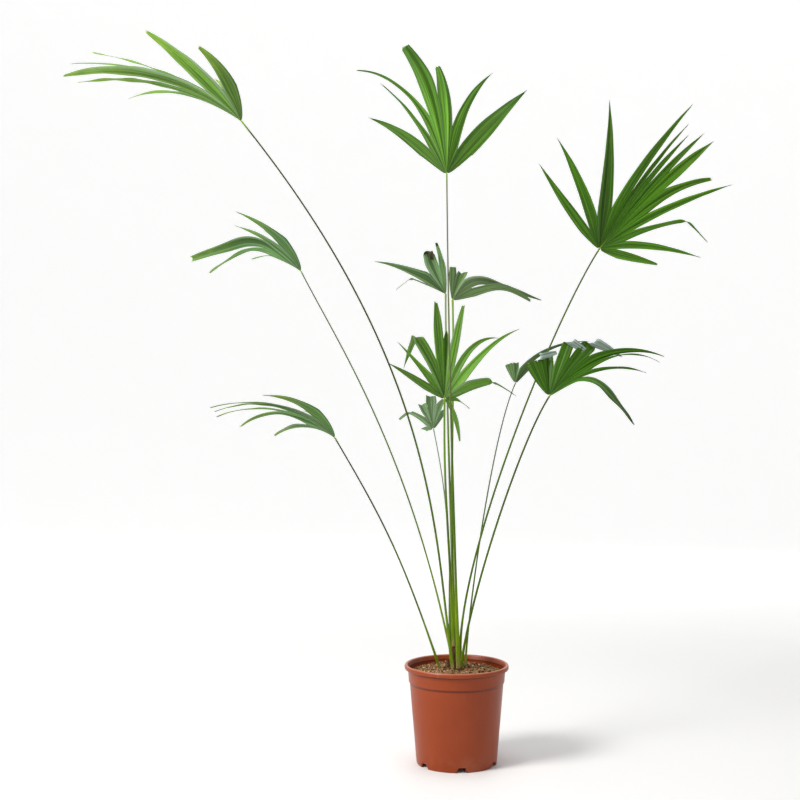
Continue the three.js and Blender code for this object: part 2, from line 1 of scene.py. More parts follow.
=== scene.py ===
# %% [markdown]
# # A potted Chinese fan palm
# The plant is a young fan palm in a plastic nursery pot. Eleven long, bare leaf stalks (petioles)
# rise from one short crown, and each ends in a pleated fan (a blade) cut into pointed leaflets.
# The solids of the plant are already there, in metres, with the floor at height zero and the viewer
# on the -Y side. This script dresses each of them with a finer surface and a material, and then
# sets up the floor, the light and the camera. Every surface here is worked out with numpy as whole
# arrays: a grid of points first, then the faces between them.

from types import SimpleNamespace

import bpy
import numpy as np
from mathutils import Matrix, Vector


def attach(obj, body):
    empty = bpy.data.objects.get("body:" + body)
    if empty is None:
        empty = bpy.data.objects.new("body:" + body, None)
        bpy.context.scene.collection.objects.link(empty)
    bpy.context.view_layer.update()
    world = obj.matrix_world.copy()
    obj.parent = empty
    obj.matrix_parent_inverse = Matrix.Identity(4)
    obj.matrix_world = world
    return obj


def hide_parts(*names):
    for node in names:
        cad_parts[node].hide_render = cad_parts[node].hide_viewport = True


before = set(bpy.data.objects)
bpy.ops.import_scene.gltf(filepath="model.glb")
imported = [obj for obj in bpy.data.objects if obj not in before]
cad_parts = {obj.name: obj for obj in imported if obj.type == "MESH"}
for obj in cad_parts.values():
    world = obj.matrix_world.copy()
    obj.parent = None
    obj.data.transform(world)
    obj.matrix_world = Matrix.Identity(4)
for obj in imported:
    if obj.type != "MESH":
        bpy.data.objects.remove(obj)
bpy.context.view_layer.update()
MM = 0.001

# %% [markdown]
# ## From arrays to a mesh
# A piece is a list of points and the faces between them. Blender can build a mesh one face at a
# time, but for tens of thousands of faces it is far quicker to hand over whole arrays with
# `foreach_set`. Sizes are kept in millimetres, as a maker would write them, and become metres here.
# A surface made of a grid of points also wants small helpers: for the four-cornered faces of the
# grid, for grids that run round an axis and are closed at both ends, and for outward directions.


# %% Helpers: points, faces, normals
def make_piece(name, points, quads, triangles=None, uv=None, state=None):
    """A mesh object from points in millimetres, four-cornered faces and three-cornered faces.

    uv holds two numbers a point, and state four numbers a point, for the material to read.
    """
    triangles = np.zeros((0, 3), int) if triangles is None else triangles
    corners = np.concatenate([quads.ravel(), triangles.ravel()]).astype(np.int32)
    sizes = np.concatenate([np.full(len(quads), 4), np.full(len(triangles), 3)])
    starts = np.concatenate([[0], np.cumsum(sizes)[:-1]]).astype(np.int32)
    mesh = bpy.data.meshes.new(name)
    mesh.vertices.add(len(points))
    mesh.vertices.foreach_set("co", (points * MM).astype(np.float32).ravel())
    mesh.loops.add(len(corners))
    mesh.loops.foreach_set("vertex_index", corners)
    mesh.polygons.add(len(sizes))
    mesh.polygons.foreach_set("loop_start", starts)
    mesh.update(calc_edges=True)
    mesh.polygons.foreach_set("use_smooth", np.ones(len(sizes), bool))
    if uv is not None:
        layer = mesh.uv_layers.new(name="grain_uv")
        layer.data.foreach_set("uv", uv[corners].astype(np.float32).ravel())
    if state is not None:
        store = mesh.attributes.new("state", "FLOAT_COLOR", "POINT")
        store.data.foreach_set("color", state.astype(np.float32).ravel())
    mesh.validate()
    piece = bpy.data.objects.new(name, mesh)
    bpy.context.scene.collection.objects.link(piece)
    return piece


def grid_faces(index, around=False):
    """The quads of a grid of point numbers: each joins a point to its right, upper-right and upper
    neighbours. A grid that closes around itself joins its last column to its first."""
    if around:
        index = np.concatenate([index, index[:, :1]], axis=1)
    corners = [index[:-1, :-1], index[:-1, 1:], index[1:, 1:], index[1:, :-1]]
    return np.stack(corners, axis=-1).reshape(-1, 4)


def closed_round(grid, first, last):
    """Points, quads and triangles of a grid that runs round: each end is closed by one more point
    and a fan of triangles."""
    index = np.arange(grid[..., 0].size).reshape(grid.shape[:2])
    nearby = np.roll(index, -1, axis=1)
    middle = np.full(index.shape[1], index.size)
    low = np.stack([middle, nearby[0], index[0]], axis=1)
    high = np.stack([middle + 1, index[-1], nearby[-1]], axis=1)
    points = np.concatenate([grid.reshape(-1, 3), [first, last]])
    return points, grid_faces(index, around=True), np.concatenate([low, high])


def round_grid(radius, height, columns):
    """Points (r cos a, r sin a, z): a row for every pair r and z, a column for every angle a."""
    angle = np.linspace(0, 2 * np.pi, columns, endpoint=False)
    x = radius[:, None] * np.cos(angle)
    y = radius[:, None] * np.sin(angle)
    z = np.repeat(height[:, None], columns, axis=1)
    return np.stack([x, y, z], axis=-1)


def direction(rows):
    """Unit vectors along the last axis."""
    return rows / np.maximum(np.linalg.norm(rows, axis=-1, keepdims=True), 1e-9)


def point_normals(points, quads):
    """Each face's direction is the cross product of its diagonals; a point's direction is the sum
    over the faces that meet in it, made one long."""
    a, b, c, d = (points[quads[:, k]] for k in range(4))
    facing = np.cross(c - a, d - b)
    total = np.zeros_like(points)
    for k in range(4):
        np.add.at(total, quads[:, k], facing)
    return direction(total)


def open_edges(quads, count):
    """The edges that only one face uses, in that face's own direction."""
    start = quads.ravel()
    end = np.roll(quads, -1, axis=1).ravel()
    alone = ~np.isin(start * count + end, end * count + start)
    return start[alone], end[alone]


def smooth_ramp(x, low, high):
    """0 below low, 1 above high, and a smooth S between them: 3t^2 - 2t^3."""
    t = np.clip((x - low) / (high - low), 0, 1)
    return t * t * (3 - 2 * t)


rng = np.random.default_rng(11)
print("helpers ready")

# %% [markdown]
# ## Materials from small blocks
# Every finish is a network of nodes. The blocks below keep the networks readable: one adds a node,
# one makes noise that follows either the object's own space or the grain of a leaf, and one lays a
# colour over the paint so far, as a painter would. Colours are written as they look on a screen, 0 to
# 255, and turned into the linear numbers that a shader needs.


# %% Helpers: material blocks
def screen_colour(red, green, blue):
    """Screen colours to linear light: ((c + 0.055) / 1.055) ^ 2.4 above a small straight part."""
    c = np.array([red, green, blue]) / 255
    linear = np.where(c <= 0.04045, c / 12.92, ((c + 0.055) / 1.055) ** 2.4)
    return (*[float(v) for v in linear], 1.0)


class Finish:
    """A material with a Principled shader and short calls for the nodes that feed it."""

    def __init__(self, name, roughness, specular=0.5):
        self.material = bpy.data.materials.new(name)
        self.material.use_nodes = True
        self.tree = self.material.node_tree
        self.shader = self.tree.nodes["Principled BSDF"]
        self.shader.inputs["Roughness"].default_value = roughness
        self.shader.inputs["Specular IOR Level"].default_value = specular

    def feed(self, socket, value):
        """Links a node's output to a socket, or sets the socket to a plain value. A colour is set
        from its three screen numbers."""
        if isinstance(value, bpy.types.NodeSocket):
            self.tree.links.new(value, socket)
        elif socket.type == "RGBA":
            socket.default_value = screen_colour(*value)
        else:
            socket.default_value = value

    def node(self, kind, inputs=None, **settings):
        made = self.tree.nodes.new(kind)
        for key, value in settings.items():
            setattr(made, key, value)
        for key, value in (inputs or {}).items():
            self.feed(made.inputs[key], value)
        return made

    def place(self):
        return self.node("ShaderNodeTexCoord").outputs["Object"]

    def scaled(self, vector, *factors):
        """A place scaled by three factors. A small factor draws a pattern out lengthwise."""
        return self.node("ShaderNodeMapping", {"Vector": vector, "Scale": factors}).outputs[0]

    def grain(self, across, along):
        """The piece's own UV map, scaled by one factor across the grain and one along it."""
        uv = self.node("ShaderNodeUVMap", uv_map="grain_uv").outputs["UV"]
        return self.scaled(uv, across, along, 1)

    def noise(self, vector, scale, detail=3.0, roughness=0.5):
        inputs = {"Vector": vector, "Scale": scale, "Detail": detail, "Roughness": roughness}
        return self.node("ShaderNodeTexNoise", inputs).outputs["Fac"]

    def state(self):
        """The four numbers a point carries: three as one colour, and the last as alpha."""
        read = self.node("ShaderNodeAttribute", attribute_name="state")
        parts = self.node("ShaderNodeSeparateColor", {"Color": read.outputs["Color"]})
        return [parts.outputs[0], parts.outputs[1], parts.outputs[2], read.outputs["Alpha"]]

    def ramp(self, value, low, high, start=0.0, end=1.0):
        """start below low, end above high, and a smooth change between them."""
        inputs = {"Value": value, "From Min": low, "From Max": high, "To Min": start, "To Max": end}
        made = self.node("ShaderNodeMapRange", inputs, interpolation_type="SMOOTHSTEP")
        return made.outputs[0]

    def maths(self, operation, one, two):
        return self.node("ShaderNodeMath", {0: one, 1: two}, operation=operation).outputs[0]

    def times(self, one, two):
        return self.maths("MULTIPLY", one, two)

    def mix(self, amount, one, two):
        made = self.node("ShaderNodeMix", data_type="RGBA")
        self.feed(made.inputs[0], amount)
        self.feed(made.inputs[6], one)
        self.feed(made.inputs[7], two)
        return made.outputs[2]

    def over(self, amount, colour):
        """Lays a colour over the paint so far."""
        self.paint = self.mix(amount, self.paint, colour)

    def shade(self, value):
        """Makes the paint so far lighter or darker by a value, 1 leaving it as it is."""
        inputs = {"Value": value, "Color": self.paint}
        self.paint = self.node("ShaderNodeHueSaturation", inputs).outputs[0]

    def bump(self, height, distance, strength=1.0):
        inputs = {"Height": height, "Distance": distance, "Strength": strength}
        self.feed(self.shader.inputs["Normal"], self.node("ShaderNodeBump", inputs).outputs[0])

    def painted(self):
        self.feed(self.shader.inputs["Base Color"], self.paint)
        return self.material


def dress(piece, material, slot, *nodes):
    """Gives a piece its material, hangs it on the plant and lets it stand for its solids."""
    piece.data.materials.append(material)
    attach(piece, "root")
    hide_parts(*nodes)
    triangles = sum(len(p.vertices) - 2 for p in piece.data.polygons)
    print(piece.name, "has", triangles, "triangles")


print("material blocks ready")

# %% [markdown]
# ## The pot
# A nursery pot is one thin moulded wall: a cone that widens upward, a collar under a rolled lip, and a
# foot ring that is cut away where water drains. A potter's way to make it is to turn a profile about
# the axis. Here the profile is a list of radius and height pairs taken from the solid, with each
# corner softened by a short curve, and turned in 600 steps so that the lip stays round. The drain
# notches then only need the lowest rows of points to be lifted, by a height that depends on where
# round the ring they lie.


# %% Turned surfaces
CORNER_POINTS = 5


def softened(profile, reach):
    """Each corner P of a line A, P, B becomes a short curve (1-t)^2 S + 2t(1-t) P + t^2 E, where S
    and E lie on the two sides of P, at most `reach` away from it."""
    p = np.array(profile, float)
    before, corner, after = p[:-2], p[1:-1], p[2:]
    t = np.linspace(0, 1, CORNER_POINTS)[None, :, None]

    def toward(other):
        side = other - corner
        length = np.linalg.norm(side, axis=1, keepdims=True)
        return corner + side * np.minimum(reach / length, 0.45)

    start, end = toward(before)[:, None], toward(after)[:, None]
    curve = (1 - t) ** 2 * start + 2 * t * (1 - t) * corner[:, None] + t**2 * end
    return np.concatenate([p[:1], curve.reshape(-1, 2), p[-1:]])


def turned(profile, columns):
    """The profile turned about the axis, on which its first and its last point lie."""
    grid = round_grid(profile[1:-1, 0], profile[1:-1, 1], columns)
    return closed_round(grid, [0, 0, profile[0, 1]], [0, 0, profile[-1, 1]])


# %% The pot's profile and its notches
POT_HEIGHT = 256.0
COLLAR_TOP_RADIUS = 126.5
COLLAR_FOOT_RADIUS = 124.0
BODY_TOP_RADIUS = 121.5
WALL = 2.5
POT_COLUMNS = 600
CORNER_REACH = 0.8
FOOT_INSIDE = 100
FOOT_RADIUS = 104.0
FOOT_TOP = 13.2
NOTCH_HEIGHT = 12.7
NOTCH_FIRST = -85.0
NOTCH_SPACING = 60.0
NOTCH_HALF_WIDTH = 13.8
NOTCH_SLOPE = 5.2

POT_PROFILE = [
    [0, 0], [48, 0], [56, 14], [FOOT_INSIDE, 14],
    [FOOT_INSIDE, FOOT_TOP], [FOOT_INSIDE, 9], [FOOT_INSIDE, 4.5], [FOOT_INSIDE, 0],
    [103, 0], [104.6, 4.5], [105.0, 9], [105.4, FOOT_TOP], [111, 83], [116, 141],
    [BODY_TOP_RADIUS, 208], [COLLAR_FOOT_RADIUS, 211], [COLLAR_TOP_RADIUS, 244],
    [134, 244], [135, 246], [135, 252], [133.5, 255], [131, POT_HEIGHT], [127.5, 254.5],
    [COLLAR_TOP_RADIUS - WALL, 244], [COLLAR_FOOT_RADIUS - WALL, 209],
    [BODY_TOP_RADIUS - WALL, 206], [102.5, 17], [58, 17], [50, 3], [0, 3],
]


def notch_height(x, y):
    """How high the foot ring is cut: the distance round the ring from the nearest notch's middle
    gives a flat top 17 mm wide with steep sides, and there are six notches."""
    angle = np.degrees(np.arctan2(y, x)) - NOTCH_FIRST
    from_middle = np.abs((angle + NOTCH_SPACING / 2) % NOTCH_SPACING - NOTCH_SPACING / 2)
    distance = np.radians(from_middle) * FOOT_RADIUS
    return NOTCH_HEIGHT * np.clip((NOTCH_HALF_WIDTH - distance) / NOTCH_SLOPE, 0, 1)


points, quads, triangles = turned(softened(POT_PROFILE, CORNER_REACH), POT_COLUMNS)
radius = np.hypot(points[:, 0], points[:, 1])
ring = (radius > FOOT_INSIDE - 2) & (points[:, 2] < FOOT_TOP)
cut = notch_height(points[:, 0], points[:, 1])
points[:, 2] = np.where(ring, cut + points[:, 2] * (FOOT_TOP - cut) / FOOT_TOP, points[:, 2])
print("pot points:", len(points), "widest radius:", radius.max())

# %% [markdown]
# The plastic is dyed through in a terracotta colour. It isn't one flat colour: handling leaves fine
# scuffs, watering leaves a faint pale bloom near the foot and soil dust under the lip, and the mould
# leaves a barely wavy surface. Each of these is a noise that changes colour or roughness a little.
# Painted light is laid on as well: a dark line of painted shade under the collar's step and under
# the lip, and a pale painted highlight along the top of the lip.


# %% The pot's finish
def terracotta_plastic():
    f = Finish("pot_plastic", 0.38, 0.3)
    place = f.place()
    height = f.node("ShaderNodeSeparateXYZ", {"Vector": place}).outputs[2]
    cloud = f.noise(place, 9.0, 4.0, 0.6)
    f.paint = f.mix(cloud, (126, 48, 8), (148, 60, 16))
    streaks = f.ramp(f.noise(f.scaled(place, 1, 1, 0.12), 60.0, 5.0, 0.65), 0.55, 0.75)
    dust = f.times(streaks, f.ramp(height, 0.19, 0.25, 0.02, 0.22))
    f.over(dust, (170, 112, 84))
    bloom = f.times(f.ramp(height, 0.06, 0.0), f.ramp(f.noise(place, 25.0), 0.4, 0.7))
    f.over(f.times(bloom, 0.2), (176, 116, 90))
    # Painted shade: a dark line under the collar's step and under the lip, where shade falls.
    painted_shade_line = f.times(f.ramp(height, 0.2045, 0.207), f.ramp(height, 0.2125, 0.2105))
    shade_under_lip = f.times(f.ramp(height, 0.2385, 0.2425), f.ramp(height, 0.2455, 0.2445))
    painted_shade_line = f.maths("MAXIMUM", painted_shade_line, shade_under_lip)
    f.over(f.times(painted_shade_line, 0.7), (70, 22, 6))
    # Painted highlight: a pale line along the top of the lip.
    painted_lip_highlight = f.times(f.ramp(height, 0.252, 0.2555), f.ramp(streaks, 0.0, 1.0, 0.45, 0.8))
    f.over(painted_lip_highlight, (206, 140, 116))
    scuffs = f.ramp(f.noise(place, 180.0, 4.0, 0.7), 0.6, 0.72)
    f.over(f.times(scuffs, 0.1), (176, 108, 82))
    f.feed(f.shader.inputs["Roughness"], f.ramp(cloud, 0.3, 0.7, 0.32, 0.44))
    f.bump(f.maths("ADD", f.noise(place, 14.0), f.times(scuffs, 0.1)), 0.0006, 0.35)
    return f.painted()


pot = make_piece("pot_moulding", points, quads, triangles)
dress(pot, terracotta_plastic(), "pot", "pot")

# %% [markdown]
# ## The soil
# Potting mix settles into a low mound: flat where the plant stands and a little lower at the wall. Its
# surface is a height over a round grid, with broad waves, small lumps and pits added. Loose bark
# crumbs lie on it. They are one small stone shape with eight flat sides, repeated 1,300 times and
# each time stretched and turned its own way, all in one multiplication of arrays.


# %% The mound
SOIL_TOP = 246.0
SOIL_EDGE = 236.0
CRUMB_ROOM = 1.5
FLAT_RADIUS = 60
SLOPE_WIDTH = 63
SOIL_RINGS = 70
SOIL_COLUMNS = 240
SOIL_FLOOR = 18.0


def soil_height(x, y):
    """Flat to 60 mm from the middle, then falling evenly to the wall, plus three sizes of waves made
    from sines at odd angles. The flat part leaves room for crumbs under the solid's top."""
    r = np.hypot(x, y)
    fallen = (SOIL_TOP - SOIL_EDGE) * np.clip((r - FLAT_RADIUS) / SLOPE_WIDTH, 0, 1)
    base = SOIL_TOP - CRUMB_ROOM - fallen
    broad = 1.1 * np.sin(x / 17 + 0.4) * np.sin(y / 21 + 1.3)
    lumps = 0.9 * np.sin(x / 5.3 + y / 7.9) * np.sin(y / 4.7 - x / 11.3 + 0.8)
    grit = 0.45 * np.sin(x / 1.9 - y / 2.7) * np.sin(y / 1.7 + x / 3.1)
    near_wall = smooth_ramp(r, 124, 117)
    return base + (broad + lumps + grit) * near_wall


soil_radii = np.concatenate([np.linspace(1.5, 121.5, SOIL_RINGS), [121.0, 118.5, 101.9]])
soil_heights = np.concatenate([np.zeros(SOIL_RINGS), [222.0, 205.0, SOIL_FLOOR]])
rows = round_grid(soil_radii, soil_heights, SOIL_COLUMNS)
top = rows[:SOIL_RINGS]
top[..., 2] = soil_height(top[..., 0], top[..., 1])
middle = [0, 0, soil_height(0.0, 0.0)]
soil_points, inward_quads, inward_triangles = closed_round(rows, middle, [0, 0, SOIL_FLOOR])
soil_quads = inward_quads[:, ::-1]
soil_triangles = inward_triangles[:, ::-1]
print("soil points:", len(soil_points))

# %% The crumbs
CRUMBS = 1300
CRUMB_REACH = 116
STONE = np.array([[1, 0, 0], [0, 1, 0], [-1, 0, 0], [0, -1, 0], [0, 0, 1], [0, 0, -1]], float)
STONE_FACES = np.array(
    [[0, 1, 4], [1, 2, 4], [2, 3, 4], [3, 0, 4], [1, 0, 5], [2, 1, 5], [3, 2, 5], [0, 3, 5]]
)


def scattered(count, low, high, reach):
    """Places spread evenly over a round area (the radius is the square root of an evenly drawn
    number) and a size for each crumb, small ones being commoner."""
    r = np.sqrt(rng.uniform(0, reach**2, count))
    a = rng.uniform(0, 2 * np.pi, count)
    size = low + (high - low) * rng.uniform(0, 1, count) ** 2.5
    return r * np.cos(a), r * np.sin(a), size


def crumb_shapes(x, y, size):
    """Every corner of the stone shape is stretched, then turned by its crumb's own matrix."""
    stretch = rng.uniform(0.55, 1.25, (len(size), 1, 3)) * size[:, None, None]
    wobble = rng.uniform(0.75, 1.25, (len(size), len(STONE), 1))
    turn, _ = np.linalg.qr(rng.normal(size=(len(size), 3, 3)))
    turn *= np.sign(np.linalg.det(turn))[:, None, None]
    shapes = np.einsum("nij,nkj->nki", turn, STONE * stretch * wobble)
    shapes[..., 0] += x[:, None]
    shapes[..., 1] += y[:, None]
    shapes[..., 2] += (soil_height(x, y) + 0.25 * size)[:, None]
    return shapes.reshape(-1, 3)


x, y, size = scattered(CRUMBS, 1.2, 5.0, CRUMB_REACH)
all_points = np.concatenate([soil_points, crumb_shapes(x, y, size)])
offset = len(soil_points) + len(STONE) * np.arange(CRUMBS)[:, None, None]
all_triangles = np.concatenate([soil_triangles, (STONE_FACES + offset).reshape(-1, 3)])
crumb_tone = np.repeat(rng.uniform(0, 1, CRUMBS), len(STONE))
tone = np.concatenate([np.full(len(soil_points), 0.5), crumb_tone])
soil_state = np.stack([tone, tone, tone, np.ones_like(tone)], axis=1)
print("crumbs:", CRUMBS, "largest size in mm:", round(float(size.max()), 2))

# %% [markdown]
# Moist mix is dark brown, dry crumbs are beige, and a green film of algae grows in patches where it
# stays wet. The crumbs' own random number picks how dry each of them is.


# %% The soil's finish
def potting_mix():
    f = Finish("potting_mix", 0.95, 0.2)
    place = f.place()
    tone = f.state()[0]
    fine = f.noise(place, 260.0, 4.0, 0.7)
    f.paint = f.mix(f.ramp(fine, 0.4, 0.6), (112, 68, 42), (170, 130, 92))
    f.over(f.ramp(tone, 0.84, 0.92, 0, 0.9), (216, 198, 160))
    f.over(f.ramp(tone, 0.36, 0.2, 0, 0.85), (66, 30, 18))
    patches = f.ramp(f.noise(place, 60.0, 3.0), 0.54, 0.64)
    f.over(f.times(patches, 0.6), (88, 104, 34))
    f.bump(fine, 0.0015, 0.8)
    return f.painted()


soil = make_piece("soil_mound", all_points, soil_quads, all_triangles, state=soil_state)
dress(soil, potting_mix(), "soil", "soil")

# %% [markdown]
# ## The fronds' measures
# A fan leaf is simple to describe by how it is laid out. Each leaflet has a rib that leaves the top
# of the stalk at one slope and ends at another; it has a length, a reach to the back or the front,
# and a length over which it is still joined to its neighbour. The table is the same one that the
# solids are made from, so that each finer piece lies where its solid does; only the hanging leaflet of
# the low right frond is made wider. Added for each frond are the leaflet that the stalk runs on into
# as a pale rib, the colours of leaf and stalk, how slender the stalk is, how deep the folds are, and
# which dry ends curl.


# %% The fronds' table
PLAIN = {"bend": 1, "sag": (0.5, 0), "crease": (2, 0, 1), "slim": 1, "taper": 1.5, "cut": 0}


def leaflet(root, tip, long, depth, joined, **extras):
    """Slopes in degrees from +X towards +Z, lengths in millimetres, as in the solids. A sag says
    where the leaflet bends softly and by how many degrees; a crease says where it has folded over
    (past the tip, at 2, if nowhere), by how many degrees, and the width that is left beyond it."""
    shape = {"root": root, "tip": tip, "long": long, "depth": depth, "joined": joined}
    return SimpleNamespace(**(shape | PLAIN | extras))


FRONDS = []


def palm_frond(name, *leaflets, **measures):
    """Adds a frond to the list. foot and top are the stalk's ends, rise and arch its slopes there, and
    pull how far along it each is felt. face is -1 where the blade's upper side looks to the front, and
    1 where it looks to the back. margins are the widths outside the outermost ribs. costa is the
    leaflet that the stalk runs on into, and how far; slender is the stalk's width at its foot and its
    top, as shares of its full width. greens are the upper side, the lower side and the tips, how
    yellow the tips are, and how strong the painted sheen on the leaf is. fold is how deep the folds
    are, as a share of the gap between ribs. curls gives, by leaflet, a dry end's length, its turn in
    degrees and the share of width kept."""
    plain = {"name": name, "leaflets": leaflets, "fold": 0.36, "curls": {}}
    FRONDS.append(SimpleNamespace(**(plain | measures)))


palm_frond(
    "high_left",
    leaflet(94, 146, 192, -110, 75, cut=0.2),
    leaflet(126, 150, 305, -100, 110, slim=1.2, cut=0.15),
    leaflet(138, 195, 480, -30, 150, slim=1.3, taper=2.5, cut=0.2),
    leaflet(142, 190, 450, 30, 130, slim=0.9, taper=2.5, cut=0.2),
    leaflet(145, 198, 325, 80, 120, bend=1.5, slim=0.8, taper=2.5, cut=0.3),
    leaflet(137, 182, 510, 110, 140, slim=0.6, taper=2.5, cut=0.25),
    leaflet(133, 168, 460, 100, 100, bend=0.7, slim=0.6, taper=2.5, cut=0.3),
    leaflet(120, 146, 230, 110, 80, slim=0.7),
    leaflet(102, 142, 160, 100, 80),
    foot=(-10, -18, 246.3), top=(-552, -60, 1653), foot_radius=5.5,
    rise=99, arch=129, pull=(0.2, 0.55), face=1, margins=(15, 12),
    costa=(3, 90), stalk=(52, 56, 20), slender=(0.92, 0.74),
    greens=((88, 128, 42), (90, 130, 50), (152, 192, 62), 0.65, 0.6),
)
palm_frond(
    "middle_left",
    leaflet(111, 160, 234, -90, 90, bend=0.8, slim=0.7),
    leaflet(126, 166, 216, -60, 90, slim=0.9),
    leaflet(139, 142, 343, -20, 110, slim=2.2, taper=1.2, cut=0.38, sag=(0.46, 60)),
    leaflet(143, 168, 290, 40, 76, bend=0.7, slim=0.7, taper=2.5, cut=0.3, sag=(0.52, 47)),
    leaflet(139, 166, 157, 60, 60, bend=0.7, slim=0.5, sag=(0.67, 30)),
    leaflet(130, 168, 190, 100, 80, slim=0.8),
    leaflet(112, 152, 170, 90, 80, slim=0.8),
    foot=(-19, 8, 300.3), top=(-419, 200, 1295), foot_radius=4,
    rise=102, arch=117, pull=(0.5, 0.2), face=1, margins=(17, 10),
    costa=(3, 80), stalk=(66, 80, 34), slender=(0.74, 0.64),
    greens=((96, 140, 74), (102, 144, 82), (146, 190, 76), 0.55, 0.75),
)
palm_frond(
    "low_left",
    leaflet(113, 180, 205, -70, 75, bend=0.9, slim=0.7),
    leaflet(124, 195, 318, -50, 85, bend=0.7, slim=0.5),
    leaflet(132, 203, 312, -20, 120, slim=0.7),
    leaflet(137, 203, 308, 20, 130, slim=0.5, taper=2),
    leaflet(138, 224, 262, 60, 75, bend=1.4, slim=0.55, taper=4, cut=0.5),
    leaflet(144, 214, 160, 80, 50, slim=1.3, taper=2.5, cut=0.2),
    leaflet(130, 190, 180, 90, 60, slim=0.6),
    leaflet(114, 170, 110, 80, 60, slim=0.7),
    foot=(-44, -10, 246.3), top=(-302, -280, 850), foot_radius=5,
    rise=108, arch=119, pull=(0.5, 0.35), face=1, margins=(14, 10),
    costa=(3, 70), stalk=(50, 56, 20), slender=(0.74, 0.66),
    greens=((80, 120, 54), (86, 124, 62), (146, 172, 70), 0.6, 0.6),
)
palm_frond(
    "high_middle",
    leaflet(128, 162, 243, 40, 76, bend=1.3, slim=1.1),
    leaflet(118, 142, 275, 10, 100, bend=2, slim=0.6),
    leaflet(108, 179, 350, -20, 145, bend=2, slim=0.4, taper=2.5, cut=0.3),
    leaflet(101, 128, 318, -40, 180, bend=2.2, slim=1.4, cut=0.45),
    leaflet(87, 118, 258, -30, 115, bend=3, slim=1.1, cut=0.35),
    leaflet(79, 38, 276, 0, 70, bend=2),
    leaflet(54, 40, 292, 40, 70, slim=1.4),
    foot=(4, -20, 246.3), top=(-34, -240, 1487), foot_radius=5.8,
    rise=92, arch=91, pull=(0.4, 0.4), face=1, margins=(17, 20),
    costa=(3, 60), stalk=(104, 112, 76), slender=(1.1, 0.62),
    greens=((88, 136, 26), (78, 124, 30), (64, 104, 34), 0.6, 0.25),
)
palm_frond(
    "centre_back",
    leaflet(149, 166, 163, 20, 60, slim=0.6, taper=2.5, crease=(0.67, 56, 1)),
    leaflet(148, 170, 223, 0, 75, bend=2, slim=0.9, taper=1),
    leaflet(114, 106, 122, 40, 80, cut=0.8, slim=1.2),
    leaflet(94, 110, 155, 60, 80, bend=2, slim=0.9, cut=0.3),
    foot=(-5, 18, 300.3), top=(-18, 300, 1240), foot_radius=4,
    rise=91, arch=89, pull=(0.35, 0.2), face=-1, margins=(8, 10),
    costa=(2, 40), stalk=(116, 148, 66), slender=(1.05, 1.0), fold=0.3,
    greens=((98, 132, 80), (108, 138, 92), (90, 128, 58), 0.3, 0.6),
    curls={2: (62, 190, 0.3), 3: (26, 330, 0.6)},
)
palm_frond(
    "centre_front",
    leaflet(92, 86, 98, 60, 75, cut=0.8),
    leaflet(76, 64, 84, 60, 68, bend=1.5, cut=0.9),
    leaflet(46, 44, 277, 60, 60, slim=0.6, taper=2, cut=0.2, sag=(0.3, -62)),
    leaflet(23, 3, 232, 10, 80, slim=0.8, taper=2.5, cut=0.3, sag=(0.62, -36)),
    foot=(0, 7, 300.3), top=(-2, 210, 1216), foot_radius=4,
    rise=94, arch=91, pull=(0.35, 0.3), face=-1, margins=(9, 12),
    costa=(1, 40), stalk=(116, 148, 66), slender=(1.2, 1.05), fold=0.3,
    greens=((84, 110, 62), (94, 120, 78), (80, 112, 44), 0.3, 0.6),
)
palm_frond(
    "centre_low",
    leaflet(146, 152, 178, -30, 56, bend=2.2),
    leaflet(128, 133, 196, 0, 74, bend=2.2, slim=0.7),
    leaflet(103, 138, 277, 20, 105, slim=1.2, taper=3, crease=(0.67, 118, 0.6)),
    leaflet(97, 92, 261, 50, 150, bend=1.5, slim=1.15, taper=2, cut=0.3),
    leaflet(88, 88, 182, 60, 142, cut=0.2),
    leaflet(77, 80, 258, 60, 87, bend=2.2, slim=0.95, taper=2.2, cut=0.3),
    leaflet(67, -14, 237, 40, 78, bend=3, slim=1.2),
    leaflet(52, 20, 277, 20, 70, bend=2.5, slim=0.8),
    leaflet(30, -2, 206, -20, 30, slim=0.95, crease=(0.66, -36, 0.3)),
    leaflet(4, -48, 75, 20, 14, slim=0.3),
    leaflet(-34, -84, 124, 60, 14, bend=0.4, slim=1.2, taper=3, cut=0.3),
    foot=(-8, 1, 300.3), top=(-29, 60, 944), foot_radius=4,
    rise=92, arch=89, pull=(0.55, 0.4), face=-1, margins=(10, 5),
    costa=(4, 60), stalk=(98, 130, 44), slender=(1.15, 1.05),
    greens=((82, 126, 34), (88, 126, 46), (84, 120, 34), 0.4, 0.35),
)
palm_frond(
    "low_back",
    leaflet(172, 188, 37, 20, 20, slim=0.8),
    leaflet(134, 166, 125, 30, 40, slim=0.8, cut=0.5, crease=(0.7, 56, 0.8)),
    leaflet(118, 116, 78, 50, 60, slim=1.5, cut=0.9),
    leaflet(98, 92, 96, 70, 66, slim=1.3, cut=0.9),
    leaflet(78, 60, 92, 70, 55, cut=0.4),
    leaflet(62, 56, 68, 50, 45),
    foot=(-14, 18, 300.3), top=(-49, 430, 856), foot_radius=4,
    rise=90, arch=101, pull=(0.4, 0.4), face=-1, margins=(10, 9),
    costa=(3, 40), stalk=(118, 126, 110), slender=(0.76, 0.62),
    greens=((98, 126, 84), (106, 132, 96), (98, 126, 66), 0.2, 0.5),
)
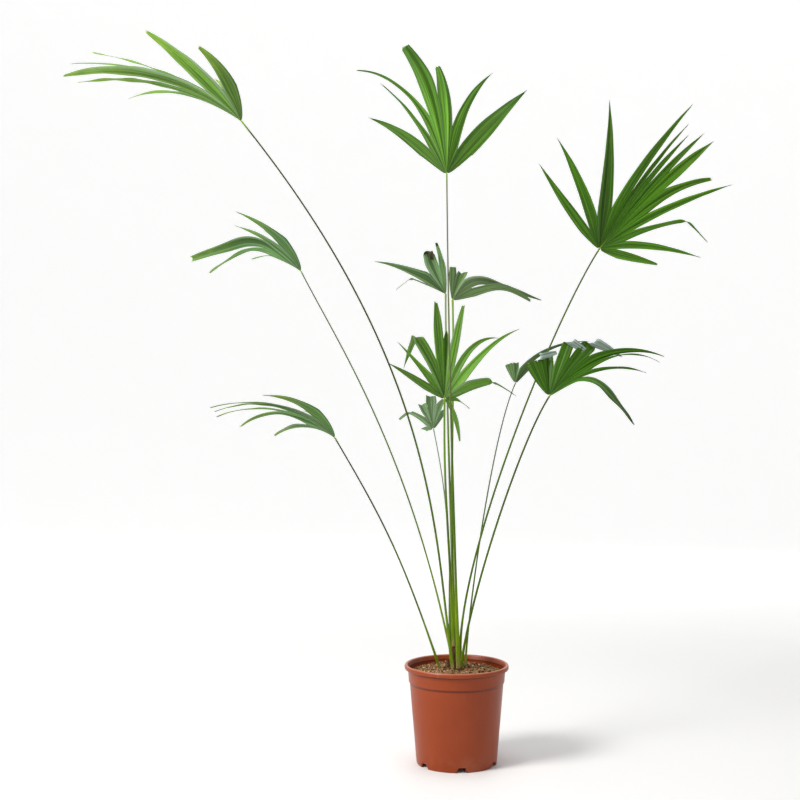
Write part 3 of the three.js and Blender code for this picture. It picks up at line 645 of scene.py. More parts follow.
palm_frond(
    "high_right",
    leaflet(131, 125, 270, -70, 59, slim=1.2),
    leaflet(108, 120, 305, -60, 87, bend=1.5, slim=1.1),
    leaflet(84, 93, 385, -40, 113, bend=2),
    leaflet(72, 50, 450, -20, 163, bend=0.5, taper=2),
    leaflet(63, 46, 404, 0, 207, taper=2.2),
    leaflet(57, 44, 385, 10, 211, bend=1.5, taper=2.2),
    leaflet(52, 39, 418, 20, 265, bend=2, taper=2),
    leaflet(48, 36, 420, 20, 235, bend=1.5, slim=1.2, taper=2),
    leaflet(43, 7, 357, 10, 158, bend=2.2, slim=0.7, taper=2, cut=0.4),
    leaflet(37, 18, 390, 0, 102, bend=0.7, slim=0.9, taper=2),
    leaflet(28, 2, 317, -20, 70, slim=0.55, taper=4, crease=(0.74, -52, 0.9)),
    leaflet(18, -18, 262, -40, 43, bend=0.5, slim=1.1),
    leaflet(-14, -20, 152, -40, 43, taper=2, cut=0.2),
    foot=(13, 14, 246.3), top=(377, 40, 1338), foot_radius=5,
    rise=98, arch=57, pull=(0.2, 0.2), face=-1, margins=(12, 14),
    costa=(6, 190), stalk=(70, 96, 20), slender=(0.9, 0.78), fold=0.26,
    greens=((60, 106, 4), (62, 102, 20), (84, 120, 20), 0.4, 0.12),
)
palm_frond(
    "low_right",
    leaflet(117, 112, 96, 10, 90, cut=0.9),
    leaflet(104, 102, 146, 20, 87, taper=3, cut=0.5, crease=(0.69, -88, 0.8)),
    leaflet(91, 90, 104, 30, 76, cut=0.9),
    leaflet(70, 68, 210, 40, 109, taper=3, cut=0.4, crease=(0.71, -101, 0.8)),
    leaflet(56, 43, 266, 50, 144, slim=1.2, taper=2.5, crease=(0.66, -71, 0.7)),
    leaflet(45, -19, 335, 60, 148, bend=1.4, slim=0.85),
    leaflet(39, -34, 318, 40, 125, bend=2.2, slim=0.4),
    leaflet(35, -20, 263, 10, 78, bend=1.5, slim=0.7, taper=2.5),
    leaflet(33, 14, 268, -40, 78, slim=5.2, taper=2.5, sag=(0.4, -70)),
    foot=(12, -4, 246.3), top=(228, -120, 951), foot_radius=5,
    rise=86, arch=58, pull=(0.2, 0.2), face=-1, margins=(22, 5),
    costa=(5, 60), stalk=(60, 78, 18), slender=(0.94, 0.84), fold=0.2,
    greens=((56, 102, 0), (146, 164, 156), (62, 84, 16), 0.3, 0.06),
)
palm_frond(
    "far_right",
    leaflet(108, 104, 58, 30, 54, cut=0.9),
    leaflet(86, 84, 58, 30, 40, cut=0.85),
    leaflet(72, -1, 266, 60, 60, bend=0.7, slim=0.8),
    leaflet(52, 44, 60, 20, 40, slim=0.5),
    foot=(23, 9, 246.3), top=(182, 330, 989), foot_radius=4.4,
    rise=86, arch=63, pull=(0.2, 0.2), face=-1, margins=(12, 10),
    costa=(1, 35), stalk=(90, 100, 84), slender=(0.76, 0.62),
    greens=((68, 100, 46), (110, 128, 112), (64, 92, 34), 0.3, 0.5),
)
print("fronds:", len(FRONDS), "leaflets:", sum(len(frond.leaflets) for frond in FRONDS))

# %% [markdown]
# ## The leaf stalks
# A petiole is a long, stiff, slightly flattened rod: thick and pale where it leaves its sheath, then
# slowly thinner and darker up to the fan. Its middle line is a cubic curve (four control points), and
# a rounded section is carried along it. The section isn't a circle: its upper side is flat and
# grooved near the foot, which is how a petiole looks when it is cut. Beyond the fan's root the same
# rod runs on as the costa, the pale rib that a fan palm keeps inside its blade.


# %% The middle lines
STALK_TOP_RADIUS = 2.4
STALK_ROWS = 150
STALK_SIDES = 20
STALK_FLATNESS = 0.86
STALK_CROWDING = 1.15
NECK_SHARE = 0.3
KNOT_SWELL = 0.22
KNOT_ROWS = 3.0
GROOVE_AT_FOOT = 0.22
GROOVE_ABOVE = 0.06
COSTA_ROWS = 40
COSTA_LIFT = 0.6
STALK_EARLY_LEAN = 0.75
STALK_LATE_LEAN = 1.05
SHEATH_LENGTH = 0.14
SAG_SPAN = 0.2
CREASE_SPAN = 0.07
RIB_STEPS = 96


def slope(degrees):
    """Unit vectors in the front view: (cos a, 0, sin a)."""
    a = np.radians(degrees)
    return np.stack([np.cos(a), np.zeros_like(a), np.sin(a)], axis=-1)


def stalk_line(frond, t):
    """The cubic (1-t)^3 A + 3t(1-t)^2 B + 3t^2(1-t) C + t^3 D, whose middle points B and C lie
    along the stalk's two slopes."""
    start, end = np.array(frond.foot, float), np.array(frond.top, float)
    reach = np.hypot(end[0] - start[0], end[2] - start[2])
    lower = start + slope(np.array(frond.rise, float)) * frond.pull[0] * reach
    upper = end - slope(np.array(frond.arch, float)) * frond.pull[1] * reach
    lower[1] = start[1] + STALK_EARLY_LEAN * frond.pull[0] * (end[1] - start[1])
    upper[1] = end[1] - STALK_LATE_LEAN * frond.pull[1] * (end[1] - start[1])
    t = t[:, None]
    early = (1 - t) ** 3 * start + 3 * t * (1 - t) ** 2 * lower
    return early + 3 * t**2 * (1 - t) * upper + t**3 * end


def turned_about(vectors, axes, angle):
    """Each vector v turned about its axis k: v cos a + (k x v) sin a + k (k.v) (1 - cos a)."""
    c, s = np.cos(angle)[:, None], np.sin(angle)[:, None]
    along = np.sum(axes * vectors, axis=1, keepdims=True)
    return vectors * c + np.cross(axes, vectors) * s + axes * along * (1 - c)


def fold_at(leaf, share):
    """At shares s of a leaflet's length: the slope root + (tip - root) s^bend + its sag, the line
    midway between the slopes before and after its crease, and how far (0 to 1) it has folded."""
    at, by, _ = leaf.crease
    middle, sagged = leaf.sag
    before = leaf.root + (leaf.tip - leaf.root) * share ** leaf.bend
    before = before + sagged * smooth_ramp(share, middle - SAG_SPAN, middle + SAG_SPAN)
    return before, slope(before + by / 2), smooth_ramp(share, at - CREASE_SPAN, at + CREASE_SPAN)


def rib_line(frond, leaf):
    """The rib as a running sum of short steps, each at its own slope and folded over with the
    crease by up to half a turn."""
    before, line, done = fold_at(leaf, (np.arange(RIB_STEPS) + 0.5) / RIB_STEPS)
    steps = turned_about(slope(before), line, np.pi * done) * leaf.long / RIB_STEPS
    steps[:, 1] += leaf.depth / RIB_STEPS
    return np.concatenate([np.zeros((1, 3)), np.cumsum(steps, axis=0)]) + frond.top


def on_rib(line, long, distance):
    """Points of a rib at given distances from the stalk's top, straight between its steps."""
    marks = np.linspace(0, long, len(line))
    return np.stack([np.interp(distance, marks, line[:, k]) for k in range(3)], axis=-1)


# %% Carrying a section along a line
def tube(line, half_width, groove):
    """Rings of points round a line. At angle a the section reaches half_width cos a sideways and a
    little less than half_width sin a backward, less a groove that is deepest on its upper side."""
    ahead = direction(np.gradient(line, axis=0))
    across = direction(np.cross(np.array([0.0, 1.0, 0.0]), ahead))
    back = np.cross(ahead, across)
    half_depth = half_width * STALK_FLATNESS
    a = np.linspace(0, 2 * np.pi, STALK_SIDES, endpoint=False)
    dip = 1 - groove[:, None] * np.exp(-(((a - 1.5 * np.pi) / 0.5) ** 2))
    wide = half_width[:, None] * np.cos(a) * dip
    deep = half_depth[:, None] * np.sin(a) * dip
    rings = line[:, None] + wide[..., None] * across[:, None] + deep[..., None] * back[:, None]
    foot = line[0] - 0.01 * ahead[0]
    return closed_round(rings, foot, line[-1] + 0.4 * half_depth[-1] * ahead[-1])


def petiole_surface(frond):
    """The rod from its foot to the fan, its radius falling fast in the sheath and then slowly, and
    on along the chosen leaflet's rib as a costa that fades to a point. It swells a little where the
    two meet, as e^(-(rows away / 3)^2), and its groove fades upward as e^(-6t)."""
    t = np.linspace(0, 1, STALK_ROWS) ** STALK_CROWDING
    foot = frond.foot_radius
    neck = STALK_TOP_RADIUS + NECK_SHARE * (foot - STALK_TOP_RADIUS)
    radius = foot + (neck - foot) * np.minimum(1, t / SHEATH_LENGTH)
    radius = radius + (STALK_TOP_RADIUS - neck) * np.maximum(0, t - SHEATH_LENGTH)
    which, reach = frond.costa
    leaf = frond.leaflets[which]
    d = np.linspace(0, reach, COSTA_ROWS + 1)[1:]
    costa = on_rib(rib_line(frond, leaf), leaf.long, d)
    costa[:, 1] += COSTA_LIFT * frond.face
    line = np.concatenate([stalk_line(frond, t), costa])
    low, high = frond.slender
    slender = np.concatenate([low + (high - low) * t, np.full(COSTA_ROWS, high)])
    fade = 1 - d / reach
    width = np.concatenate([radius, STALK_TOP_RADIUS * (0.12 + 0.6 * fade)]) * slender
    swell = 1 + KNOT_SWELL * np.exp(-(((np.arange(len(line)) - STALK_ROWS) / KNOT_ROWS) ** 2))
    groove = np.concatenate([GROOVE_AT_FOOT * np.exp(-t * 6) + GROOVE_ABOVE, np.zeros(COSTA_ROWS)])
    points, quads, caps = tube(line, width * swell, groove)
    share = np.concatenate([t, 1 + d / reach])
    length = np.concatenate([[0], np.cumsum(np.linalg.norm(np.diff(line, axis=0), axis=1))]) * MM
    around = np.tile(np.linspace(0, 1, STALK_SIDES, endpoint=False), len(line))
    uv = np.stack([around, np.repeat(length, STALK_SIDES)], axis=1)
    uv = np.concatenate([uv, [[0.5, 0], [0.5, length[-1]]]])
    mark = np.concatenate([np.repeat(share, STALK_SIDES), [0, 2]]) / 2
    state = np.stack([mark, mark, mark, np.ones_like(mark)], axis=1)
    return points, quads, caps, uv, state


# %% [markdown]
# The rod's colour follows its length: pale where the old sheath held it, fresh green above, and
# slowly its own frond's tone, which is olive on the outer stalks, whitish or grey on a few, and bright
# green in the middle. Where the fan's ribs meet it turns yellow-green. The surface has fine lengthwise
# lines, some of them pale, so the noise is stretched along the rod.


# %% The petioles' finish
def stalk_green(name, upper):
    f = Finish("stalk_" + name, 0.5, 0.15)
    mark = f.state()[0]
    lines = f.noise(f.grain(9.0, 5.0), 5.0, 4.0, 0.6)
    streaks = f.noise(f.grain(5.0, 1.2), 4.0, 2.0, 0.5)
    blotches = f.noise(f.grain(0.5, 14.0), 3.0, 3.0, 0.6)
    f.paint = f.mix(f.ramp(mark, 0.03, 0.12), (106, 136, 4), (66, 96, 2))
    f.over(f.ramp(mark, 0.2, 0.38), upper)
    f.over(f.ramp(mark, 0.49, 0.5), (118, 152, 44))
    f.over(f.ramp(mark, 0.51, 0.62), (78, 118, 36))
    pale = f.times(f.ramp(streaks, 0.55, 0.65), f.ramp(mark, 0.3, 0.02, 0.05, 0.5))
    f.over(pale, (172, 186, 92))
    foot = f.ramp(f.maths("ADD", mark, f.times(blotches, 0.015)), 0.022, 0.008)
    f.over(foot, (150, 140, 84))
    f.shade(f.ramp(lines, 0.3, 0.7, 0.7, 1.2))
    f.bump(lines, 0.0006, 0.4)
    return f.painted()


for frond in FRONDS:
    stalk = make_piece("stalk_" + frond.name, *petiole_surface(frond))
    dress(stalk, stalk_green(frond.name, frond.stalk), "petiole", "petiole_" + frond.name)

# %% [markdown]
# ## The fans
# A fan palm's blade is one sheet folded like a paper fan: every leaflet is a fold with its rib in the
# valley or on the ridge, and its two halves slope away from it. Near the stalk neighbours share an
# edge, and further out each one is free and narrows to a point, which age has often split. One grid
# per leaflet gives all of this. Its columns run from the left edge over the rib to the right edge, and
# its rows run outward; joined rows reuse the neighbour's points, so that the fan is one closed skin.
# Two skins, a fraction of a millimetre apart, with a narrow wall between their edges, make the leaf a
# body with a thickness, which light and shadow need at its rim.


# %% The layout of one fan
BLADE_START = 3.8
TIP_HALF_WIDTH = 0.9
MARGIN_START = 1.5
MARGIN_GROWTH = 0.6
JOIN_LIMIT = 0.93
JOINED_ROWS = 26
FREE_ROWS = 44
CURL_ROWS = 10
PAST_THE_TIP = 1.06
SPLIT_SHARE = 0.07
SPLIT_LENGTH = 14
ARCH = 0.10
RAGGED = 0.02
TRIMMED_SHARE = 0.97
GRAIN_SHIFT = 0.37
SKIN = 0.9
COLUMNS = np.array([1, 0.9, 0.72, 0.5, 0.28, 0.08, 0, 0.08, 0.28, 0.5, 0.72, 0.9, 1])
HALF = len(COLUMNS) // 2


def fold_points(frond, left, right, distance):
    """Midway between two ribs at equal distances, raised to the upper side by a share of half the
    gap."""
    a, b = on_rib(*left, distance), on_rib(*right, distance)
    ahead = direction(on_rib(*left, distance + 1) - on_rib(*left, distance - 1))
    gap = b - a
    up = direction(np.cross(gap, ahead)) * -frond.face
    return (a + b) / 2 + up * frond.fold * np.linalg.norm(gap, axis=1, keepdims=True) / 2


def free_rows(leaf, start, end):
    """How far out the free rows lie. They are evenly spaced, but on a creased leaflet they crowd over
    the crease, so that the two edges and the rib fold at the same distance."""
    count = np.arange(1, FREE_ROWS + 1)
    at, span = leaf.crease[0] * leaf.long, CREASE_SPAN * leaf.long
    if at > leaf.long:
        return start + (end - start) * count / FREE_ROWS
    return np.interp(count, np.array([0, 0.35, 0.75, 1]) * FREE_ROWS, [start, at - span, at + span, end])


def swung(vector, degrees):
    """One vector turned in the front view, from +X towards +Z, by each of the angles given."""
    c, s = np.cos(np.radians(degrees)), np.sin(np.radians(degrees))
    x, y, z = vector
    return np.stack([x * c - z * s, y + 0 * c, x * s + z * c], axis=1)


def free_edge(rib, leaf, edge, start, distance):
    """The free margin: square to the rib and swinging round with it, at the width where the joined
    part ends, times a taper that falls as 1 - s^taper (never below `cut`), times a slimming that is
    complete by half way, and folded over with the crease."""
    share = (distance - start) / (leaf.long - start)
    before, line, done = fold_at(leaf, distance / leaf.long)
    along = slope(before)
    along[:, 1] = leaf.depth / leaf.long
    along = direction(along)
    carried = swung(edge, before - fold_at(leaf, np.array([start / leaf.long]))[0])
    square = carried - along * np.sum(along * carried, axis=1, keepdims=True)
    side = turned_about(direction(square), line, np.pi * done)
    tapering = leaf.cut + (1 - leaf.cut) * (1 - share ** leaf.taper)
    slimming = 1 + (leaf.slim - 1) * np.sin(np.pi / 2 * np.minimum(1, 2 * share))
    kept = 1 + (leaf.crease[2] - 1) * done
    width = np.maximum(np.linalg.norm(edge) * tapering * slimming * kept, TIP_HALF_WIDTH)
    return on_rib(*rib, distance) + side * width[:, None]


def outer_margin(width, middle, inner, t):
    """An outside leaflet's outer edge: away from its inner fold, growing as t^0.6 to its full width."""
    away = direction(middle - inner)
    grown = MARGIN_START + (width - MARGIN_START) * t**MARGIN_GROWTH
    return middle + away * grown[:, None]


def leaflet_edges(frond, k, ribs, joins):
    """Left edge, rib and right edge of leaflet k, row by row, joined part first."""
    leaf = frond.leaflets[k]
    before = joins[k - 1] if k > 0 else None
    after = joins[k] if k < len(joins) else None
    inner = (before or after)["far"]
    outer = (after or before)["far"]
    widest = (inner + outer) / 2
    t = np.linspace(0, 1, JOINED_ROWS + 1)
    middle = on_rib(*ribs[k], BLADE_START + (widest - BLADE_START) * t)
    first, last = frond.margins
    left = before["fold"] if before else outer_margin(first, middle, after["fold"], t)
    right = after["fold"] if after else outer_margin(last, middle, before["fold"], t)
    split = 0.0 if leaf.cut else min(SPLIT_SHARE, SPLIT_LENGTH / leaf.long)
    reach = leaf.long * (1 - split)
    edges = []
    for joined, start in ((left, inner), (right, outer)):
        edge = joined[-1] - on_rib(*ribs[k], np.array([start]))[0]
        distance = free_rows(leaf, start, leaf.long)
        edges.append(np.concatenate([joined, free_edge(ribs[k], leaf, edge, start, distance)]))
    rib = np.concatenate([middle, on_rib(*ribs[k], free_rows(leaf, widest, reach))])
    along = np.concatenate([t * widest, free_rows(leaf, widest, leaf.long)]) / leaf.long
    return edges[0], rib, edges[1], along


# %% From edges to a skin
def leaflet_grid(frond, leaf, left, rib, right, along, wave):
    """Columns between rib and edges. Each half arches a little, 4a(1-a), and the free margins wave
    slowly up and down, more toward the tip. wave is the waves' height, length and phase."""
    a = COLUMNS[None, :, None]
    edge = np.where(np.arange(len(COLUMNS))[None, :, None] < HALF, left[:, None], right[:, None])
    flat = rib[:, None] + (edge - rib[:, None]) * a
    half = np.linalg.norm(edge - rib[:, None], axis=2, keepdims=True)
    ahead = direction(np.gradient(rib, axis=0))[:, None]
    up = direction(np.cross(right - left, ahead[:, 0]))[:, None] * -frond.face
    arch = ARCH * half * 4 * a * (1 - a)
    free = np.zeros(len(rib))
    free[JOINED_ROWS:] = smooth_ramp(np.arange(FREE_ROWS + 1) / FREE_ROWS, 0.0, 0.5)
    high, long, phase = wave
    turns = along[:, None] * leaf.long / long + phase + a[..., 0] * 0.3
    side = np.sign(np.arange(len(COLUMNS)) - HALF)[None, :]
    ripple = high * free[:, None] * a[..., 0] * np.sin(2 * np.pi * turns + side)
    return flat + up * (arch + ripple[..., None])


def curled_end(grid, along, length, degrees, kept):
    """Rolls a dry end over towards the viewer: a few more rows, whose steps turn by the square root
    of the share done, and whose width shrinks toward the left edge until `kept` of it is left."""
    done = np.arange(1, CURL_ROWS + 1)[:, None] / CURL_ROWS
    end = grid[-1]
    ahead = direction((grid[-1] - grid[-3]).mean(axis=0))
    over = direction(np.cross(end[-1] - end[0], ahead))
    over = over * -np.sign(over[1])
    angle = np.radians(degrees) * np.sqrt(done)
    steps = (ahead * np.cos(angle) + over * np.sin(angle)) * length / CURL_ROWS
    narrow = (1 + (kept - 1) * np.sqrt(done))[..., None]
    rows = end[0] + np.cumsum(steps, axis=0)[:, None] + (end - end[0]) * narrow
    return np.concatenate([grid, rows]), np.concatenate([along, np.full(CURL_ROWS, PAST_THE_TIP)])


def fan_folds(frond, ribs):
    """For each pair of neighbours: how far out they are joined, and the fold between them."""
    leaves = frond.leaflets
    t = np.linspace(0, 1, JOINED_ROWS + 1)
    joins = []
    for k in range(len(leaves) - 1):
        far = min(leaves[k].joined, JOIN_LIMIT * min(leaves[k].long, leaves[k + 1].long))
        distance = BLADE_START + (far - BLADE_START) * t
        joins.append({"far": far, "fold": fold_points(frond, ribs[k], ribs[k + 1], distance)})
    return joins


def leaflet_uv_state(k, leaf, along, tone):
    """A leaflet's UV map, in widths across and metres along, moved on for each leaflet, and for each
    point its leaflet's tone, its share of the length, and how near it is to the rib."""
    across = np.linspace(0, 1, len(COLUMNS))[None] + 0 * along[:, None]
    length = along[:, None] * leaf.long * MM + 0 * across
    share = along[:, None] * (TRIMMED_SHARE if leaf.cut else 1) + 0 * across
    near = 1 - COLUMNS[None] + 0 * across
    uv = np.stack([across + k, length + GRAIN_SHIFT * k], axis=-1)
    return uv.reshape(-1, 2), np.stack([tone + 0 * across, share, near], axis=-1).reshape(-1, 3)


def blade_surface(frond, chance):
    """The whole fan as one sheet: each leaflet's grid takes the points of its first column, as far
    as it is joined, from the last column of the leaflet before."""
    ribs = [(rib_line(frond, leaf), leaf.long) for leaf in frond.leaflets]
    joins = fan_folds(frond, ribs)
    points, quads, uvs, states = [], [], [], []
    total, shared = 0, None
    for k, leaf in enumerate(frond.leaflets):
        wave = chance.uniform(0.5, 1.6), chance.uniform(70, 120), chance.uniform()
        left, rib, right, along = leaflet_edges(frond, k, ribs, joins)
        grid = leaflet_grid(frond, leaf, left, rib, right, along, wave)
        if leaf.cut:
            ragged = chance.uniform(-1, 0.3, len(COLUMNS)) * RAGGED * leaf.long
            grid[-1] += direction(rib[-1] - rib[-2]) * ragged[:, None]
        if k in frond.curls:
            grid, along = curled_end(grid, along, *frond.curls[k])
        index = np.arange(grid[..., 0].size).reshape(grid.shape[:2]) + total
        if shared is not None:
            index[: JOINED_ROWS + 1, 0] = shared
        shared = index[: JOINED_ROWS + 1, -1]
        total += grid[..., 0].size
        uv, state = leaflet_uv_state(k, leaf, along, chance.uniform(0, 1))
        points.append(grid.reshape(-1, 3))
        quads.append(grid_faces(index))
        uvs.append(uv)
        states.append(state)
    used, packed = np.unique(np.concatenate(quads), return_inverse=True)
    points, uvs, states = (np.concatenate(rows)[used] for rows in (points, uvs, states))
    return points, packed.reshape(-1, 4), uvs, states


def with_thickness(frond, points, quads, uv, state):
    """A copy of the sheet on each side, half a skin away along the normals, the far one turned
    over, and a wall from each open edge to its copy. Towards a tip the skin thins to a half. The
    last number of `state` is 1 above, 0 below."""
    normals = point_normals(points, quads)
    count = len(points)
    root = np.linalg.norm(points - np.array(frond.top, float), axis=1)
    half = SKIN / 2 * (0.5 + 0.5 * smooth_ramp(state[:, 1], 1.0, 0.5)) * smooth_ramp(root, -30, 20)
    shift = normals * half[:, None]
    start, end = open_edges(quads, count)
    wall = np.stack([start, start + count, end + count, end], axis=1)
    faces = np.concatenate([quads, quads[:, ::-1] + count, wall])
    upper = 1.0 if frond.face < 0 else 0.0
    sides = np.concatenate([np.full(count, upper), np.full(count, 1 - upper)])
    state = np.concatenate([np.tile(state, (2, 1)), sides[:, None]], axis=1)
    return np.concatenate([points + shift, points - shift]), faces, np.tile(uv, (2, 1)), state


# %% [markdown]
# A palm leaf is never one green. The upper side is deeper and glossier than the lower, which is
# greyer. Fine parallel veins run from root to tip, the rib itself is pale, each leaflet has its own
# tone, and the tips fade to yellow-green and dry to brown at the very end. Painted light is laid on
# too: light and dark stripes along the leaflets are painted shade of the pleats, pale grey streaks
# near the edges are a painted sheen, and the folds between leaflets are darker near the base as
# painted shade. All of it follows the leaf's own grain, so the noise is read along the leaf's UV
# map, stretched many times lengthwise.


# %% The leaves' finish
def leaf_green(name, upper, lower, tip, yellowing, sheen):
    f = Finish(name, 0.45, 0.2)
    tone, share, near, side = f.state()
    veins = f.noise(f.grain(34.0, 3.0), 1.0, 2.0, 0.6)
    pleat_relief_and_shade = f.noise(f.grain(8.0, 1.6), 1.0, 2.0, 0.5)
    blotch = f.noise(f.grain(1.2, 16.0), 1.0, 3.0, 0.6)
    f.paint = f.mix(side, lower, upper)
    f.shade(f.ramp(tone, 0.0, 1.0, 0.75, 1.25))
    # Painted shade: light and dark stripes along the leaflets stand for the shade of the pleats.
    f.shade(f.ramp(pleat_relief_and_shade, 0.4, 0.6, 0.62, 1.36))
    f.shade(f.ramp(veins, 0.4, 0.6, 0.8, 1.2))
    fade = f.times(f.ramp(share, 0.45, 1.0), f.ramp(blotch, 0.3, 0.7, 0.5, 1.3))
    f.over(f.times(fade, yellowing), tip)
    f.shade(f.ramp(share, 0.0, 0.3, 0.72, 1.0))
    # Painted sheen: pale grey streaks near the leaflets' edges stand for reflected light.
    streak = f.ramp(f.noise(f.grain(6.0, 1.4), 1.0, 3.0, 0.6), 0.5, 0.6)
    rim = f.ramp(near, 0.5, 0.1, 0.25, 1.0)
    painted_sheen = f.times(f.times(streak, rim), sheen)
    f.over(painted_sheen, (148, 168, 148))
    rib = f.times(f.ramp(near, 0.9, 1.0), f.ramp(share, 0.9, 0.2, 0.1, 0.35))
    f.over(rib, (128, 164, 60))
    # Painted shade: the folds between leaflets are darker toward the fan's base.
    crease = f.times(f.ramp(near, 0.12, 0.0), f.ramp(share, 0.6, 0.1, 0, 0.6))
    f.over(crease, (24, 44, 16))
    dry = f.ramp(f.maths("ADD", share, f.times(blotch, 0.02)), 0.985, 1.0)
    f.over(dry, (56, 54, 30))
    f.feed(f.shader.inputs["Roughness"], f.ramp(side, 0.0, 1.0, 0.6, 0.42))
    f.bump(f.maths("ADD", veins, f.times(pleat_relief_and_shade, 1.5)), 0.0008, 0.5)
    return f.painted()


for number, frond in enumerate(FRONDS, 1):
    sheet = blade_surface(frond, np.random.default_rng(number))
    points, quads, uv, state = with_thickness(frond, *sheet)
    blade = make_piece("fan_" + frond.name, points, quads, uv=uv, state=state)
    green = leaf_green("leaf_" + frond.name, *frond.greens)
    dress(blade, green, "blade", "blade_" + frond.name)

# %% [markdown]
# ## The crown
# Where the petioles meet, each is wrapped in its sheath: a paper-brown net of fibres that splits and
# frays as the stalk inside grows. A rough core fills the middle. Around it stand split sheaths, most
# of them short and two of them tall, and loose fibres bend out and over. A sheath is a leaning strip
# wrapped part of the way round the core, and a fibre is a very thin strip on a drooping curve; both
# are grids made for many at once. One more sheath is still green: it stands behind the middle stalks
# and dries to a thin point.


# %% The core
CROWN_X = -8.0
CROWN_Y = 10.0
CORE_FOOT = 246.4
CORE_REACH = 3
CORE_COLUMNS = 96
CORE_PROFILE = [
    [0, CORE_FOOT], [13, CORE_FOOT], [12, 255], [10, 273], [8, 290], [6, 299], [4, 300], [0, 300],
]
core_points, core_quads, core_caps = turned(softened(CORE_PROFILE, CORE_REACH), CORE_COLUMNS)
angle = np.arctan2(core_points[:, 1], core_points[:, 0])
height = core_points[:, 2]
rough = 1 + 0.05 * np.sin(23 * angle + height / 6) + 0.03 * np.sin(41 * angle - height / 3)
lift = smooth_ramp(height, CORE_FOOT, 252)
core_points[:, :2] *= (1 + (rough - 1) * lift)[:, None]
core_points[:, :2] += [CROWN_X, CROWN_Y]
print("core points:", len(core_points))


# %% Strips: sheaths and fibres
STRIP_SECTION = ((-1, -0.5), (0, -0.5), (1, -0.5), (1, 0.5), (0, 0.5), (-1, 0.5))
FIBRE_FOOT = 245.5
SHEATHS = 16
FIBRES = 70
GREEN_ROWS = 40


def strips(feet, lean, heights, widths, droop, rows=14, curl=0.0, thick=0.35):
    """Many thin closed strips. Strip i rises from feet[i], leans outward by lean[i] and bends over by
    droop[i]; its width narrows as 1 - s^2, and its section curls round the crown."""
    feet = np.array(feet, float)
    lean, heights, widths, droop = (np.array([v]).T for v in (lean, heights, widths, droop))
    s = np.linspace(0, 1, rows)[None, :]
    out = direction(feet[:, :2] - [CROWN_X, CROWN_Y])
    side = np.stack([-out[:, 1], out[:, 0]], axis=1)
    away = lean * s * heights + droop * s**3 * heights
    rise = heights * (s - 0.5 * droop * s**4)
    half = widths / 2 * (1 - s**2) + 0.12
    sections = []
    for u, t in STRIP_SECTION:
        inward = t * thick - curl * half * u * u
        x = feet[:, :1] + out[:, :1] * (away + inward) + side[:, :1] * half * u
        y = feet[:, 1:2] + out[:, 1:] * (away + inward) + side[:, 1:] * half * u
        sections.append(np.stack([x, y, feet[:, 2:] + rise], axis=-1))
    index = np.arange(len(feet) * rows * len(STRIP_SECTION)).reshape(len(feet), rows, -1)
    quads = np.concatenate([grid_faces(one, around=True) for one in index])
    low = index[:, 0][:, [0, 5, 4, 1]], index[:, 0][:, [1, 4, 3, 2]]
    high = index[:, -1][:, [0, 1, 4, 5]], index[:, -1][:, [1, 2, 3, 4]]
    return np.stack(sections, axis=2).reshape(-1, 3), np.concatenate([quads, *low, *high])


def round_crown(count, radius, spread):
    """Feet on a ring round the crown, with an even scatter in angle and radius."""
    a = rng.uniform(0, 2 * np.pi, count)
    r = radius + rng.uniform(-spread, spread, count)
    x, y = CROWN_X + r * np.cos(a), CROWN_Y + r * np.sin(a)
    return np.stack([x, y, np.full(count, FIBRE_FOOT)], axis=1)


def drawn(count, *ranges):
    """For each range, one evenly drawn number for every strip."""
    return [rng.uniform(low, high, count) for low, high in ranges]


feet = round_crown(SHEATHS, 13, 1.5)
shape = drawn(SHEATHS, (0.02, 0.12), (10, 30), (5, 9), (0.0, 0.1))
sheaths = strips(feet, *shape, curl=0.35, thick=0.7)
feet = [[-4.0, 3.0, 246.0], [5.0, 13.0, 246.0]]
tall = strips(feet, [0.02, 0.02], [80.0, 55.0], [6.5, 6.0], [0.02, 0.02], curl=0.5, thick=0.8)
feet = [[-10.5, 17.0, 247.0]]
young = strips(feet, [0.08], [254.0], [19.0], [0.01], rows=GREEN_ROWS, curl=0.4, thick=1.0)
feet = round_crown(FIBRES, 16.5, 3.5)
shape = drawn(FIBRES, (0.1, 0.9), (8, 28), (0.5, 1.6), (0.1, 0.9))
fibres = strips(feet, *shape, rows=10)
print("points in the short sheaths:", len(sheaths[0]), "in the fibres:", len(fibres[0]))


# %% The crown's piece and finish
def joined(parts):
    """Stacks several sets of points and quads, shifting each set's numbers past the last."""
    offsets = np.cumsum([0] + [len(points) for points, _ in parts[:-1]])
    quads = [faces + offset for (_, faces), offset in zip(parts, offsets)]
    return np.concatenate([points for points, _ in parts]), np.concatenate(quads)


def dry_fibre():
    f = Finish("dry_fibre", 0.85, 0.15)
    place = f.place()
    green = f.state()[0]
    lines = f.noise(f.scaled(place, 1, 1, 0.12), 420.0, 4.0, 0.7)
    patch = f.noise(place, 30.0, 3.0, 0.6)
    f.paint = f.mix(patch, (56, 26, 14), (128, 92, 60))
    f.over(f.ramp(green, 0.3, 0.7), (98, 134, 54))
    f.shade(f.ramp(lines, 0.3, 0.7, 0.65, 1.25))
    f.bump(lines, 0.001, 0.8)
    return f.painted()


crown_points, crown_quads = joined([(core_points, core_quads), sheaths, tall, fibres, young])
green = np.zeros(len(crown_points))
fading = smooth_ramp(np.linspace(0, 1, GREEN_ROWS), 0.86, 0.66)
green[-len(young[0]) :] = np.repeat(fading, len(STRIP_SECTION))
crown_state = np.repeat(green[:, None], 4, axis=1)
crown = make_piece("crown_fibres", crown_points, crown_quads, core_caps, state=crown_state)
dress(crown, dry_fibre(), "crown", "crown")
